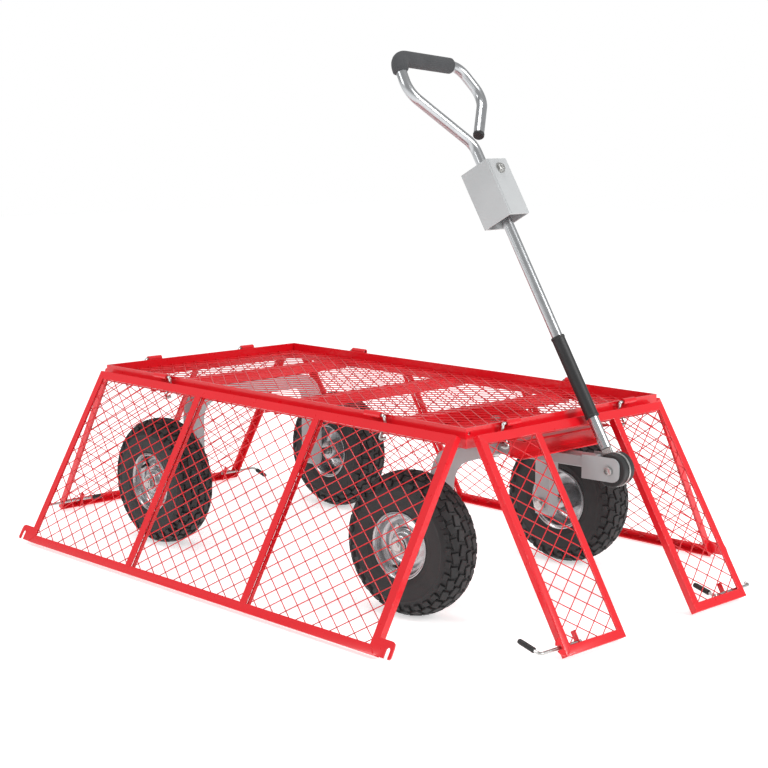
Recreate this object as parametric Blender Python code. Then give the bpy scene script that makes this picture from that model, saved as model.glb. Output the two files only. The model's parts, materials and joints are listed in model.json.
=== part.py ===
"""Four-wheel garden cart: a mesh deck with four drop-down mesh panels, a steering front axle,
a leaning pull handle and pneumatic wheels.

Frame: +Z up, floor at z = 0, the handle end faces -Y. Metres throughout.
Near side = -X (the cart's right), far side = +X (its left).
"""
import math

import bmesh
import bpy
from mathutils import Matrix, Vector

# ---------------------------------------------------------------- driving dimensions (metres)
GAP = 0.0003             # clear space left between pieces that touch on the real cart
STEEL = 0.003            # plate and angle-iron thickness

DECK_LENGTH = 1.050
DECK_WIDTH = 0.526
DECK_TOP = 0.356
DECK_WALL = 0.035        # height of the deck frame's outer wall
SHELF_TOP = 0.3385       # ledge the floor mesh lies on
SHELF_WIDTH = 0.025

WIRE = 0.002             # mesh wire thickness
MESH_LONG = 0.174        # one bar stands for every fourth wire: the real diamonds are 43.5 mm ...
MESH_SHORT = 0.1228      # ... by 30.7 mm
MESH_BORDER = 0.005

BEAM_WIDTH = 0.030
BEAM_BOTTOM = 0.3162
BEAM_REAR_Y = 0.3535
BEAM_MIDDLE_Y = -0.010
BEAM_FRONT_Y = -0.300
STEER_PLATE_Z = 0.3129
STEER_PLATE_HALF = 0.120
STEER_PLATE_REAR_Y = -0.290
CHANNEL_LOW = 0.283      # channel below the plate's front edge
CHANNEL_FRONT_Y = -0.528
CHANNEL_REAR_Y = -0.495
KINGPIN_R = 0.006
KINGPIN_NUT_R = 0.0105
KINGPIN_NUT_HIGH = 0.0077
BEARING_R = 0.026

PIVOT_OUT = 0.012        # hinge axis stands this far outside the deck wall
PANEL_TOP = 0.012        # hinge axis to the panel's upper edge
SIDE_HEIGHT = 0.400      # hinge axis to a side panel's free edge
END_HEIGHT = 0.404       # hinge axis to an end panel's free edge
RAIL = 0.0165            # width of a rail's visible leg
RAIL_DEPTH = 0.0135      # depth of a rail's other leg
SIDE_HALF = 0.520
SIDE_MID_RAIL = 0.175
END_HALF = 0.254
NOTCH_HALF = 0.100       # opening in the front panel for the handle
SIDE_LEAN = 29.6         # degrees from straight down when folded
END_LEAN = 31.0

KNUCKLE_R = 0.006
PIN_R = 0.0030
PIN_HOLE_R = 0.0034
PIN_W = 0.0092           # how far behind the panel's face a pin's leg runs
PIN_LEG_OUT = 0.007      # the leg stands this far beyond the knuckle's end
PIN_LEG_LENGTH = 0.043
PIN_SLOT_LOW = 0.0042    # the pins' slots in the upper ledge, from behind the face ...
PIN_SLOT_HIGH = 0.020
PIN_SLOT_HALF = 0.0045
DRAIN_R = 0.0035         # small round hole in the deck's front wall
DRAIN_X = -0.255
DRAIN_Z = 0.3465
SIDE_HINGE_U = 0.313
FRONT_HINGE_U = 0.160
REAR_HINGE_U = 0.130
SIDE_KNUCKLE_LENGTH = 0.040
END_KNUCKLE_LENGTH = 0.034

ROD_R = 0.003            # latch lever rod
ROD_V = 0.386            # lever axis, measured down the panel from the hinge
ROD_W = 0.0090           # lever axis, measured behind the panel's face
ROD_CRANK_OUT = 0.302    # plane of the outer lever's crank
ROD_CRANK_IN = 0.178     # plane of the inner lever's crank
ROD_TIP = 0.285
ROD_INNER_END = 0.200
CRANK_LENGTH = 0.045
CRANK_ANGLE = 135.7      # crank direction at rest, degrees from the free-edge direction
LOW_CRANK_ANGLE = 105.0  # the same for the rear panel's outer lever
GRIP_R = 0.005
GRIP_LENGTH = 0.032
GUIDE_U = 0.205
GUIDE_TOP = 0.366
GUIDE_DEPTH = 0.0165

WHEEL_R = 0.130
WHEEL_HALF = 0.0405
TRACK_HALF = 0.245
AXLE_R = 0.008
AXLE_NUT_R = 0.0125
AXLE_NUT_IN = 0.0365     # the nut's inner face, out from the wheel's middle
AXLE_NUT_OUT = 0.0445
AXLE_END = 0.046
STUB_START = 0.140       # inner end of a stub axle, out from the middle
REAR_AXLE_Y = 0.353
KINGPIN_Y = -0.353
STEER_REST = 5.8         # degrees the front axle is turned at rest

ARCH_HALF = 0.180
ARCH_LEG = 0.030
ARCH_BACK = -0.013
ARCH_FRONT = 0.020
ARCH_FOOT = 0.106
ARCH_OUTER_BEND = 0.062
ARCH_INNER_BEND = 0.036
REAR_ARCH_HALF_DEPTH = 0.0165
FRONT_ARCH_TOP = 0.287
REAR_ARCH_TOP = 0.3159

DRAWBAR_HALF = 0.0175
DRAWBAR_LOW = 0.257
DRAWBAR_HIGH = 0.2775
DRAWBAR_END = 0.222
CLEVIS_BACK = 0.206
CLEVIS_FRONT = 0.283
CLEVIS_LOW = 0.238
CLEVIS_HIGH = 0.281
BOLT_FWD = 0.263
BOLT_Z = 0.258
BOLT_R = 0.005
BOLT_END = 0.026
BOLT_HEAD_R = 0.0085
BOLT_HEAD_HIGH = 0.006
CLEVIS_NOSE_R = 0.014
DISC_INNER = 0.0024      # faces of the friction discs, out from the middle plane
DISC_OUTER = 0.0172
DISC_R = 0.030
TONGUE_R = 0.0315
TONGUE_HALF = 0.002

HANDLE_LEAN = 29.5       # degrees the handle leans back at rest
TUBE_R = 0.010
TUBE_START = 0.041
SLEEVE_R = 0.013
SLEEVE_START = 0.100
SLEEVE_END = 0.259
HITCH_START = 0.490
HITCH_END = 0.603
HITCH_DEEP = 0.066
HITCH_WIDE = 0.060
HITCH_BOLT_DROP = 0.020  # the bolt's height below the hitch box's top
HITCH_BOLT_R = 0.004
LOOP_START = 0.6033
FOAM_R = 0.015

SIDES_ROUND = 12         # facets on a tube
SIDES_WHEEL = 24         # facets round a wheel
BEND_STEPS = 3           # facets along a bend of the handle's loop


# ---------------------------------------------------------------- scene helpers
for old in list(bpy.data.objects):
    bpy.data.objects.remove(old, do_unlink=True)

PARTS = bpy.data.collections.new("garden_cart")
CUTTERS = bpy.data.collections.new("cutters")
bpy.context.scene.collection.children.link(PARTS)
bpy.context.scene.collection.children.link(CUTTERS)


def make_material(name, colour, roughness, metallic):
    material = bpy.data.materials.new(name)
    material.use_nodes = True
    shader = material.node_tree.nodes["Principled BSDF"]
    shader.inputs["Base Color"].default_value = (*colour, 1.0)
    shader.inputs["Roughness"].default_value = roughness
    shader.inputs["Metallic"].default_value = metallic
    material.diffuse_color = (*colour, 1.0)
    return material


RED = make_material("red_paint", (0.78, 0.02, 0.03), 0.35, 0.0)
ZINC = make_material("zinc_plate", (0.72, 0.73, 0.74), 0.30, 1.0)
GREY = make_material("grey_paint", (0.42, 0.44, 0.45), 0.45, 0.0)
BLACK = make_material("black_rubber", (0.03, 0.03, 0.03), 0.75, 0.0)
FOAM = make_material("foam", (0.09, 0.09, 0.09), 0.90, 0.0)
TYRE = make_material("tyre_rubber", (0.025, 0.025, 0.025), 0.80, 0.0)


def add_object(name, bm, material, parent=None, round_piece=False):
    bmesh.ops.recalc_face_normals(bm, faces=bm.faces)
    mesh = bpy.data.meshes.new(name)
    bm.to_mesh(mesh)
    bm.free()
    mesh.materials.append(material)
    obj = bpy.data.objects.new(name, mesh)
    PARTS.objects.link(obj)
    obj.parent = parent
    if round_piece:
        mesh.shade_smooth()
        mesh.set_sharp_from_angle(angle=math.radians(40))
    return obj


def pivot(name, matrix, parent=None):
    """An empty standing on a joint's axis; pieces that turn with it are its children."""
    empty = bpy.data.objects.new(name, None)
    empty.empty_display_size = 0.05
    PARTS.objects.link(empty)
    empty.parent = parent
    empty.matrix_local = matrix
    return empty


def axes_matrix(origin, u, v, w):
    """A frame whose X, Y and Z columns are u, v and w."""
    return Matrix((
        (u[0], v[0], w[0], origin[0]),
        (u[1], v[1], w[1], origin[1]),
        (u[2], v[2], w[2], origin[2]),
        (0.0, 0.0, 0.0, 1.0),
    ))


# ---------------------------------------------------------------- shape helpers
def box(bm, low, high):
    """Add a box between two corners."""
    size = [high[i] - low[i] for i in range(3)]
    middle = [(high[i] + low[i]) / 2 for i in range(3)]
    matrix = Matrix.Translation(middle) @ Matrix.Diagonal((*size, 1.0))
    bmesh.ops.create_cube(bm, size=1.0, matrix=matrix)


def rod(bm, start, end, radius, sides=SIDES_ROUND):
    """Add a straight solid rod between two points."""
    start = Vector(start)
    end = Vector(end)
    along = end - start
    turn = along.to_track_quat("Z", "Y").to_matrix().to_4x4()
    matrix = Matrix.Translation((start + end) / 2) @ turn
    bmesh.ops.create_cone(
        bm, cap_ends=True, segments=sides, radius1=radius, radius2=radius, depth=along.length, matrix=matrix
    )


def cutter_from(bm):
    """Turn a bmesh into a hidden cutter object."""
    bmesh.ops.recalc_face_normals(bm, faces=bm.faces)
    mesh = bpy.data.meshes.new("cutter")
    bm.to_mesh(mesh)
    bm.free()
    obj = bpy.data.objects.new("cutter", mesh)
    obj.hide_render = True
    obj.display_type = "WIRE"
    CUTTERS.objects.link(obj)
    return obj


def combine(obj, bm, operation):
    """Cut a bmesh from, or join it to, an object."""
    cutter = cutter_from(bm)
    cutter.parent = obj.parent
    modifier = obj.modifiers.new(operation.lower(), "BOOLEAN")
    modifier.operation = operation
    modifier.solver = "EXACT"
    modifier.object = cutter


def round_corners(points, radii, steps=4):
    """Replace each inner corner of a path by an arc of the given radius."""
    path = [Vector(points[0])]
    for before, corner, after, radius in zip(points, points[1:], points[2:], radii):
        corner = Vector(corner)
        back = (Vector(before) - corner).normalized()
        ahead = (Vector(after) - corner).normalized()
        half = back.angle(ahead) / 2
        trim = radius / math.tan(half)
        centre = corner + (back + ahead).normalized() * (radius / math.sin(half))
        first = corner + back * trim - centre
        last = corner + ahead * trim - centre
        for step in range(steps + 1):
            share = step / steps
            path.append(centre + first.normalized().slerp(last.normalized(), share) * radius)
    path.append(Vector(points[-1]))
    return path


def bent_tube(name, path, radius, material, parent, resolution=4):
    """A solid round bar that follows a path, as a closed mesh."""
    curve = bpy.data.curves.new(name, "CURVE")
    curve.dimensions = "3D"
    curve.bevel_depth = radius
    curve.bevel_resolution = resolution
    curve.use_fill_caps = True
    spline = curve.splines.new("POLY")
    spline.points.add(len(path) - 1)
    for point, place in zip(spline.points, path):
        point.co = (*place, 1.0)
    return mesh_from_curve(name, curve, material, parent, True)


def flat_plate(name, outline, thickness, material, parent, to_frame=None):
    """A flat plate cut to an outline, as a closed mesh.

    The outline lies in the local XY plane and the plate grows from z = 0 to the thickness;
    to_frame then moves it where it belongs.
    """
    curve = bpy.data.curves.new(name, "CURVE")
    curve.dimensions = "2D"
    curve.fill_mode = "BOTH"
    curve.extrude = thickness / 2
    spline = curve.splines.new("POLY")
    spline.points.add(len(outline) - 1)
    for point, place in zip(spline.points, outline):
        point.co = (place[0], place[1], 0.0, 1.0)
    spline.use_cyclic_u = True
    matrix = Matrix.Translation((0.0, 0.0, thickness / 2))
    if to_frame is not None:
        matrix = to_frame @ matrix
    return mesh_from_curve(name, curve, material, parent, False, matrix)


def mesh_from_curve(name, curve, material, parent, round_piece, matrix=None):
    holder = bpy.data.objects.new(name + "_curve", curve)
    PARTS.objects.link(holder)
    bpy.context.view_layer.update()
    evaluated = holder.evaluated_get(bpy.context.evaluated_depsgraph_get())
    mesh = bpy.data.meshes.new_from_object(evaluated)
    bm = bmesh.new()
    bm.from_mesh(mesh)
    bmesh.ops.remove_doubles(bm, verts=bm.verts, dist=0.00001)
    if matrix is not None:
        bmesh.ops.transform(bm, matrix=matrix, verts=bm.verts)
    bpy.data.objects.remove(holder, do_unlink=True)
    bpy.data.curves.remove(curve)
    return add_object(name, bm, material, parent, round_piece)


def arc(centre, radius, start, end, steps):
    """Points along an arc, angles in degrees."""
    points = []
    for step in range(steps + 1):
        angle = math.radians(start + (end - start) * step / steps)
        points.append((centre[0] + radius * math.cos(angle), centre[1] + radius * math.sin(angle)))
    return points


def lathe(profile, segments):
    """Spin a closed (x, radius) profile about the X axis."""
    bm = bmesh.new()
    ring = [bm.verts.new((x, 0.0, radius)) for x, radius in profile]
    edges = [bm.edges.new((ring[i], ring[(i + 1) % len(ring)])) for i in range(len(ring))]
    bmesh.ops.spin(
        bm, geom=ring + edges, cent=(0, 0, 0), axis=(1, 0, 0), angle=math.tau, steps=segments, use_merge=True
    )
    bmesh.ops.remove_doubles(bm, verts=bm.verts, dist=0.00001)
    return bm


def ribbed_plate(u_cuts, v_cuts, kind, sheet, depth=None):
    """A flat sheet with upstanding ribs, from a grid of cells.

    kind(u, v) says what stands at a cell's middle: "open", "sheet" or "rib".
    The face lies at w = 0; the sheet is this thick and ribs reach w = depth.
    """
    bm = bmesh.new()
    low = Vector((u_cuts[0], v_cuts[0], 0.0))
    high = Vector((u_cuts[-1], v_cuts[-1], 0.0))
    middle = (low + high) / 2
    size = high - low
    matrix = Matrix.Translation(middle) @ Matrix.Diagonal((size.x, size.y, 1.0, 1.0))
    bmesh.ops.create_grid(bm, x_segments=1, y_segments=1, size=0.5, matrix=matrix)
    for cuts, normal in ((u_cuts[1:-1], (1, 0, 0)), (v_cuts[1:-1], (0, 1, 0))):
        for cut in cuts:
            place = Vector(normal) * cut
            geom = list(bm.verts) + list(bm.edges) + list(bm.faces)
            bmesh.ops.bisect_plane(bm, geom=geom, dist=0.000001, plane_co=place, plane_no=normal)
    empty = [f for f in bm.faces if kind(*f.calc_center_median().xy) == "open"]
    bmesh.ops.delete(bm, geom=empty, context="FACES")
    flat = list(bm.faces)
    grown = bmesh.ops.extrude_face_region(bm, geom=flat, use_keep_orig=True)
    tops = [item for item in grown["geom"] if isinstance(item, bmesh.types.BMVert)]
    bmesh.ops.translate(bm, verts=tops, vec=(0, 0, sheet))
    faces = [item for item in grown["geom"] if isinstance(item, bmesh.types.BMFace)]
    ribs = [f for f in faces if kind(*f.calc_center_median().xy) == "rib"]
    if ribs:
        raised = bmesh.ops.extrude_face_region(bm, geom=ribs)
        tops = [item for item in raised["geom"] if isinstance(item, bmesh.types.BMVert)]
        bmesh.ops.translate(bm, verts=tops, vec=(0, 0, depth - sheet))
        bmesh.ops.delete(bm, geom=ribs, context="FACES_ONLY")
    bmesh.ops.recalc_face_normals(bm, faces=bm.faces)
    bmesh.ops.dissolve_limit(bm, angle_limit=0.01, verts=bm.verts, edges=bm.edges)
    return bm


def lattice(name, u_low, u_high, v_low, v_high, w, parent, long_way):
    """A diamond mesh inside a narrow border, w being its lower face.

    long_way holds the diamonds' lengths along u and v.
    """
    bm = bmesh.new()
    reach = max(u_high - u_low, v_high - v_low) * 1.5
    count = int(reach / min(long_way)) * 2
    middle = Vector(((u_low + u_high) / 2, (v_low + v_high) / 2, w))
    turn = Matrix.Rotation(math.radians(45), 4, "Z")
    stretch = Matrix.Diagonal((long_way[0], long_way[1], 1.0, 1.0))
    size = count / (2 * math.sqrt(2))
    bmesh.ops.create_grid(
        bm, x_segments=count, y_segments=count, size=size,
        matrix=Matrix.Translation(middle) @ stretch @ turn,
    )
    cells = list(bm.faces)
    bmesh.ops.inset_individual(bm, faces=cells, thickness=WIRE / 2)
    bmesh.ops.delete(bm, geom=cells, context="FACES_ONLY")
    trim = 0.001
    sides = (
        ((u_low + trim, 0, 0), (-1, 0, 0)),
        ((u_high - trim, 0, 0), (1, 0, 0)),
        ((0, v_low + trim, 0), (0, -1, 0)),
        ((0, v_high - trim, 0), (0, 1, 0)),
    )
    for place, normal in sides:
        geom = list(bm.verts) + list(bm.edges) + list(bm.faces)
        bmesh.ops.bisect_plane(
            bm, geom=geom, dist=0.000001, plane_co=place, plane_no=normal, clear_outer=True
        )
    bmesh.ops.dissolve_limit(bm, angle_limit=0.01, verts=bm.verts, edges=bm.edges)
    grown = bmesh.ops.extrude_face_region(bm, geom=list(bm.faces), use_keep_orig=True)
    tops = [item for item in grown["geom"] if isinstance(item, bmesh.types.BMVert)]
    bmesh.ops.translate(bm, verts=tops, vec=(0, 0, WIRE))
    obj = add_object(name, bm, RED, parent)
    rim = ribbed_plate(
        [u_low, u_low + MESH_BORDER, u_high - MESH_BORDER, u_high],
        [v_low, v_low + MESH_BORDER, v_high - MESH_BORDER, v_high],
        lambda u, v: "open" if (
            u_low + MESH_BORDER < u < u_high - MESH_BORDER and v_low + MESH_BORDER < v < v_high - MESH_BORDER
        ) else "sheet",
        WIRE + 0.0002,
    )
    bmesh.ops.translate(rim, verts=rim.verts, vec=(0, 0, w - 0.0001))
    combine(obj, rim, "UNION")
    return obj


# ---------------------------------------------------------------- chassis: deck
HALF_X = DECK_WIDTH / 2
HALF_Y = DECK_LENGTH / 2


def deck_kind(x, y):
    if abs(x) > HALF_X - STEEL or abs(y) > HALF_Y - STEEL:
        return "rib"
    if abs(x) > HALF_X - SHELF_WIDTH or abs(y) > HALF_Y - SHELF_WIDTH:
        return "sheet"
    return "open"


def ring_cuts(half, *insets):
    cuts = [half - inset for inset in insets]
    return sorted([-c for c in cuts] + cuts)


shelf_low = SHELF_TOP - STEEL
deck_bm = ribbed_plate(
    ring_cuts(HALF_X, 0, STEEL, SHELF_WIDTH), ring_cuts(HALF_Y, 0, STEEL, SHELF_WIDTH),
    deck_kind, STEEL, DECK_TOP - shelf_low,
)
bmesh.ops.translate(deck_bm, verts=deck_bm.verts, vec=(0, 0, shelf_low))
deck_frame = add_object("deck_frame", deck_bm, RED)

wall_low = DECK_TOP - DECK_WALL
skirt = ribbed_plate(
    ring_cuts(HALF_X, 0, STEEL), ring_cuts(HALF_Y, 0, STEEL),
    lambda x, y: "sheet" if abs(x) > HALF_X - STEEL or abs(y) > HALF_Y - STEEL else "open",
    DECK_WALL / 2,
)
bmesh.ops.translate(skirt, verts=skirt.verts, vec=(0, 0, wall_low))
combine(deck_frame, skirt, "UNION")

drain = bmesh.new()
rod(drain, (DRAIN_X, -HALF_Y - 0.01, DRAIN_Z), (DRAIN_X, -HALF_Y + 0.01, DRAIN_Z), DRAIN_R)
combine(deck_frame, drain, "DIFFERENCE")

# hinge knuckles, each on a small foot welded to the deck's wall
KNUCKLE_SETS = (
    ((-1, 0, 0), (0, 1, 0), HALF_X, SIDE_HINGE_U, SIDE_KNUCKLE_LENGTH),
    ((1, 0, 0), (0, 1, 0), HALF_X, SIDE_HINGE_U, SIDE_KNUCKLE_LENGTH),
    ((0, -1, 0), (1, 0, 0), HALF_Y, FRONT_HINGE_U, END_KNUCKLE_LENGTH),
    ((0, 1, 0), (1, 0, 0), HALF_Y, REAR_HINGE_U, END_KNUCKLE_LENGTH),
)
FOOT_LOW = 0.0066        # the foot's faces, below the hinge axis
FOOT_HIGH = 0.0036
FOOT_INSET = 0.002
tubes = bmesh.new()
feet = bmesh.new()
bores = bmesh.new()
for outward, along, wall, hinge_u, length in KNUCKLE_SETS:
    outward = Vector(outward)
    along = Vector(along)
    for place in (-hinge_u, hinge_u):
        middle = outward * (wall + PIVOT_OUT) + along * place + Vector((0, 0, DECK_TOP))
        start = middle - along * length / 2
        end = middle + along * length / 2
        rod(tubes, start, end, KNUCKLE_R)
        rod(bores, start - along * 0.01, end + along * 0.01, PIN_HOLE_R)
        near = start + along * FOOT_INSET - outward * FOOT_INSET - Vector((0, 0, FOOT_LOW))
        far = end - along * FOOT_INSET - outward * (PIVOT_OUT + 0.001) - Vector((0, 0, FOOT_HIGH))
        box(feet, [min(pair) for pair in zip(near, far)], [max(pair) for pair in zip(near, far)])
combine(deck_frame, tubes, "UNION")
combine(deck_frame, feet, "UNION")
combine(deck_frame, bores, "DIFFERENCE")

inside = STEEL + GAP
lattice(
    "deck_mesh", -HALF_X + inside, HALF_X - inside, -HALF_Y + inside, HALF_Y - inside,
    SHELF_TOP + GAP + 0.0001, None, (MESH_SHORT, MESH_LONG),
)


def cross_beam(name, y):
    """A folded channel across the deck, open below."""
    reach = HALF_X - inside
    top = shelf_low - GAP
    bm = bmesh.new()
    box(bm, (-reach, y - BEAM_WIDTH / 2, BEAM_BOTTOM), (reach, y + BEAM_WIDTH / 2, top))
    obj = add_object(name, bm, RED)
    hollow = bmesh.new()
    box(
        hollow, (-reach - 0.01, y - BEAM_WIDTH / 2 + STEEL, BEAM_BOTTOM - 0.01),
        (reach + 0.01, y + BEAM_WIDTH / 2 - STEEL, top - STEEL),
    )
    combine(obj, hollow, "DIFFERENCE")
    return obj


cross_beam("deck_beam_rear", BEAM_REAR_Y)
cross_beam("deck_beam_middle", BEAM_MIDDLE_Y)
cross_beam("deck_beam_front", BEAM_FRONT_Y)

# steering plate under the front of the deck, bored for the kingpin
plate_bm = bmesh.new()
box(
    plate_bm, (-STEER_PLATE_HALF, -HALF_Y, STEER_PLATE_Z),
    (STEER_PLATE_HALF, STEER_PLATE_REAR_Y, STEER_PLATE_Z + STEEL),
)
steering_plate = add_object("steering_plate", plate_bm, RED)
KINGPIN_HOLE = KINGPIN_R + GAP
bore = bmesh.new()
rod(bore, (0, KINGPIN_Y, 0.30), (0, KINGPIN_Y, 0.33), KINGPIN_HOLE)
combine(steering_plate, bore, "DIFFERENCE")

# channel welded below the plate's front edge, open to the front
channel_top = STEER_PLATE_Z + STEEL / 2
channel = bmesh.new()
box(
    channel, (-STEER_PLATE_HALF, CHANNEL_FRONT_Y, CHANNEL_LOW),
    (STEER_PLATE_HALF, CHANNEL_REAR_Y, channel_top),
)
combine(steering_plate, channel, "UNION")
hollow = bmesh.new()
box(
    hollow, (-STEER_PLATE_HALF - 0.01, CHANNEL_FRONT_Y - 0.01, CHANNEL_LOW + STEEL),
    (STEER_PLATE_HALF + 0.01, CHANNEL_REAR_Y - STEEL, STEER_PLATE_Z),
)
combine(steering_plate, hollow, "DIFFERENCE")

# bearing collar and kingpin
bearing_bm = bmesh.new()
rod(
    bearing_bm, (0, KINGPIN_Y, FRONT_ARCH_TOP + GAP), (0, KINGPIN_Y, STEER_PLATE_Z - GAP), BEARING_R, 20
)
bearing = add_object("steering_bearing", bearing_bm, ZINC, None, True)
bore = bmesh.new()
rod(bore, (0, KINGPIN_Y, 0.28), (0, KINGPIN_Y, 0.32), KINGPIN_HOLE)
combine(bearing, bore, "DIFFERENCE")

head_low = STEER_PLATE_Z + STEEL + GAP
nut_high = FRONT_ARCH_TOP - ARCH_LEG - GAP
nut_low = nut_high - KINGPIN_NUT_HIGH
pin_bm = bmesh.new()
rod(pin_bm, (0, KINGPIN_Y, nut_low - 0.003), (0, KINGPIN_Y, head_low + 0.004), KINGPIN_R)
kingpin = add_object("kingpin", pin_bm, ZINC, None, True)
for low, high in ((head_low, head_low + KINGPIN_NUT_HIGH), (nut_low, nut_high)):
    head = bmesh.new()
    rod(head, (0, KINGPIN_Y, low), (0, KINGPIN_Y, high), KINGPIN_NUT_R, 6)
    combine(kingpin, head, "UNION")


# ---------------------------------------------------------------- axle arches and wheels
def arch_outline(half, top, leg, foot, outer_r, inner_r):
    """An upside-down U in (x, z) with rounded feet."""
    inner = half - leg
    under = top - leg
    toe = leg * 0.35
    points = arc((half - outer_r, top - outer_r), outer_r, 0, 90, 5)
    points += arc((-half + outer_r, top - outer_r), outer_r, 90, 180, 5)
    points += arc((-half + toe, foot + toe), toe, 180, 270, 2)
    points += arc((-inner - toe, foot + toe), toe, 270, 360, 2)
    points += arc((-inner + inner_r, under - inner_r), inner_r, 180, 90, 4)
    points += arc((inner - inner_r, under - inner_r), inner_r, 90, 0, 4)
    points += arc((inner + toe, foot + toe), toe, 180, 270, 2)
    points += arc((half - toe, foot + toe), toe, 270, 360, 2)
    return points


# local X to the side, outline's Y up, thickness towards +Y in the world
UPRIGHT = Matrix.Rotation(math.radians(90), 4, "X")


def axle_arch(name, top, parent, web_y, open_y):
    """A pressed channel bent into an arch; its web stands at web_y and it opens towards open_y."""
    depth = abs(open_y - web_y)
    start = max(web_y, open_y)
    frame = Matrix.Translation((0, start, 0)) @ UPRIGHT
    outer = arch_outline(ARCH_HALF, top, ARCH_LEG, ARCH_FOOT, ARCH_OUTER_BEND, ARCH_INNER_BEND)
    arch = flat_plate(name, outer, depth, GREY, parent, frame)
    outline = arch_outline(
        ARCH_HALF - STEEL, top - STEEL, ARCH_LEG - 2 * STEEL, ARCH_FOOT - 0.02,
        ARCH_OUTER_BEND - STEEL, ARCH_INNER_BEND + STEEL,
    )
    web = STEEL if web_y < open_y else -STEEL
    pocket_frame = Matrix.Translation((0, start + (0.01 if web > 0 else web), 0)) @ UPRIGHT
    pocket = flat_plate("pocket", outline, depth + 0.01 - STEEL, GREY, parent, pocket_frame)
    bm = bmesh.new()
    bm.from_mesh(pocket.data)
    bpy.data.objects.remove(pocket, do_unlink=True)
    combine(arch, bm, "DIFFERENCE")
    return arch


def stub_axles(end_name, y, parent):
    """A bolt through each leg of an arch carries a wheel."""
    for side_name, side in (("right", -1), ("left", 1)):
        bm = bmesh.new()
        rod(bm, (side * STUB_START, y, WHEEL_R), (side * (TRACK_HALF + AXLE_END), y, WHEEL_R), AXLE_R, 12)
        obj = add_object(end_name + "_axle_" + side_name, bm, ZINC, parent, True)
        nuts = (
            (TRACK_HALF + AXLE_NUT_IN, TRACK_HALF + AXLE_NUT_OUT),
            (STUB_START + 0.002, ARCH_HALF - ARCH_LEG - GAP),
        )
        for inner, outer in nuts:
            nut = bmesh.new()
            rod(nut, (side * inner, y, WHEEL_R), (side * outer, y, WHEEL_R), AXLE_NUT_R, 6)
            combine(obj, nut, "UNION")


def bore_legs(arch, y):
    hole = bmesh.new()
    reach = ARCH_HALF + 0.02
    rod(hole, (-reach, y, WHEEL_R), (reach, y, WHEEL_R), AXLE_R + GAP, 12)
    combine(arch, hole, "DIFFERENCE")


rear_arch = axle_arch(
    "rear_axle_arch", REAR_ARCH_TOP, None,
    REAR_AXLE_Y - REAR_ARCH_HALF_DEPTH, REAR_AXLE_Y + REAR_ARCH_HALF_DEPTH,
)
bore_legs(rear_arch, REAR_AXLE_Y)
stub_axles("rear", REAR_AXLE_Y, None)

steer = pivot(
    "steering_pivot",
    Matrix.Translation((0, KINGPIN_Y, 0)) @ Matrix.Rotation(math.radians(STEER_REST), 4, "Z"),
)
front_arch = axle_arch("front_axle_arch", FRONT_ARCH_TOP, steer, -ARCH_FRONT, -ARCH_BACK)
bore_legs(front_arch, 0.0)
bore = bmesh.new()
rod(bore, (0, 0, 0.20), (0, 0, 0.30), KINGPIN_R + 0.0006)
combine(front_arch, bore, "DIFFERENCE")
stub_axles("front", 0.0, steer)

TYRE_HALF_PROFILE = (
    (0.0325, 0.0553), (0.0325, 0.0625), (WHEEL_HALF, 0.0860), (0.0385, 0.1090), (0.0250, 0.1265),
)
tyre_profile = [(x, r) for x, r in TYRE_HALF_PROFILE] + [(0.0, WHEEL_R)]
tyre_profile += [(-x, r) for x, r in reversed(TYRE_HALF_PROFILE)]
RIM_PROFILE = (
    (0.0355, 0.0510), (0.0355, 0.0605), (0.0328, 0.0605), (0.0328, 0.0550), (-0.0328, 0.0550),
    (-0.0328, 0.0605), (-0.0355, 0.0605), (-0.0355, 0.0515), (0.0170, 0.0490), (0.0100, 0.0270),
    (-0.0340, 0.0190), (-0.0340, AXLE_R + 0.0005), (0.0360, AXLE_R + 0.0005), (0.0360, 0.0175),
    (0.0140, 0.0250), (0.0205, 0.0460),
)


def wheel(name, x, y, parent, side):
    hub = pivot(name + "_pivot", Matrix.Translation((x, y, WHEEL_R)), parent)
    for piece, profile, material in (("tyre", tyre_profile, TYRE), ("rim", RIM_PROFILE, ZINC)):
        bm = lathe([(side * px, r) for px, r in profile], SIDES_WHEEL)
        add_object(piece + "_" + name, bm, material, hub, True)


wheel("front_right", -TRACK_HALF, 0.0, steer, -1)
wheel("front_left", TRACK_HALF, 0.0, steer, 1)
wheel("rear_right", -TRACK_HALF, REAR_AXLE_Y, None, -1)
wheel("rear_left", TRACK_HALF, REAR_AXLE_Y, None, 1)

# ---------------------------------------------------------------- drawbar and handle
bar_bm = bmesh.new()
box(
    bar_bm, (-DRAWBAR_HALF, -DRAWBAR_END, DRAWBAR_LOW), (DRAWBAR_HALF, -ARCH_FRONT - GAP, DRAWBAR_HIGH)
)
add_object("drawbar", bar_bm, GREY, steer)

plate_in = DRAWBAR_HALF + GAP
plate_out = plate_in + STEEL
clevis_bm = bmesh.new()
for side in (-1, 1):
    low = min(side * plate_in, side * plate_out)
    high = max(side * plate_in, side * plate_out)
    box(clevis_bm, (low, -CLEVIS_FRONT, CLEVIS_LOW), (high, -CLEVIS_BACK, CLEVIS_HIGH))
nose = [
    e for e in clevis_bm.edges
    if abs(e.verts[0].co.y + CLEVIS_FRONT) < 0.0001 and abs(e.verts[1].co.y + CLEVIS_FRONT) < 0.0001
    and abs(e.verts[0].co.z - e.verts[1].co.z) < 0.0001
]
bmesh.ops.bevel(clevis_bm, geom=nose, offset=CLEVIS_NOSE_R, segments=4, profile=0.5, affect="EDGES")
clevis = add_object("clevis", clevis_bm, GREY, steer)
web = bmesh.new()
box(
    web, (-plate_out + 0.001, -DRAWBAR_END + GAP, DRAWBAR_LOW - GAP - STEEL),
    (plate_out - 0.001, -CLEVIS_BACK - 0.002, DRAWBAR_LOW - GAP),
)
combine(clevis, web, "UNION")
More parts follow.
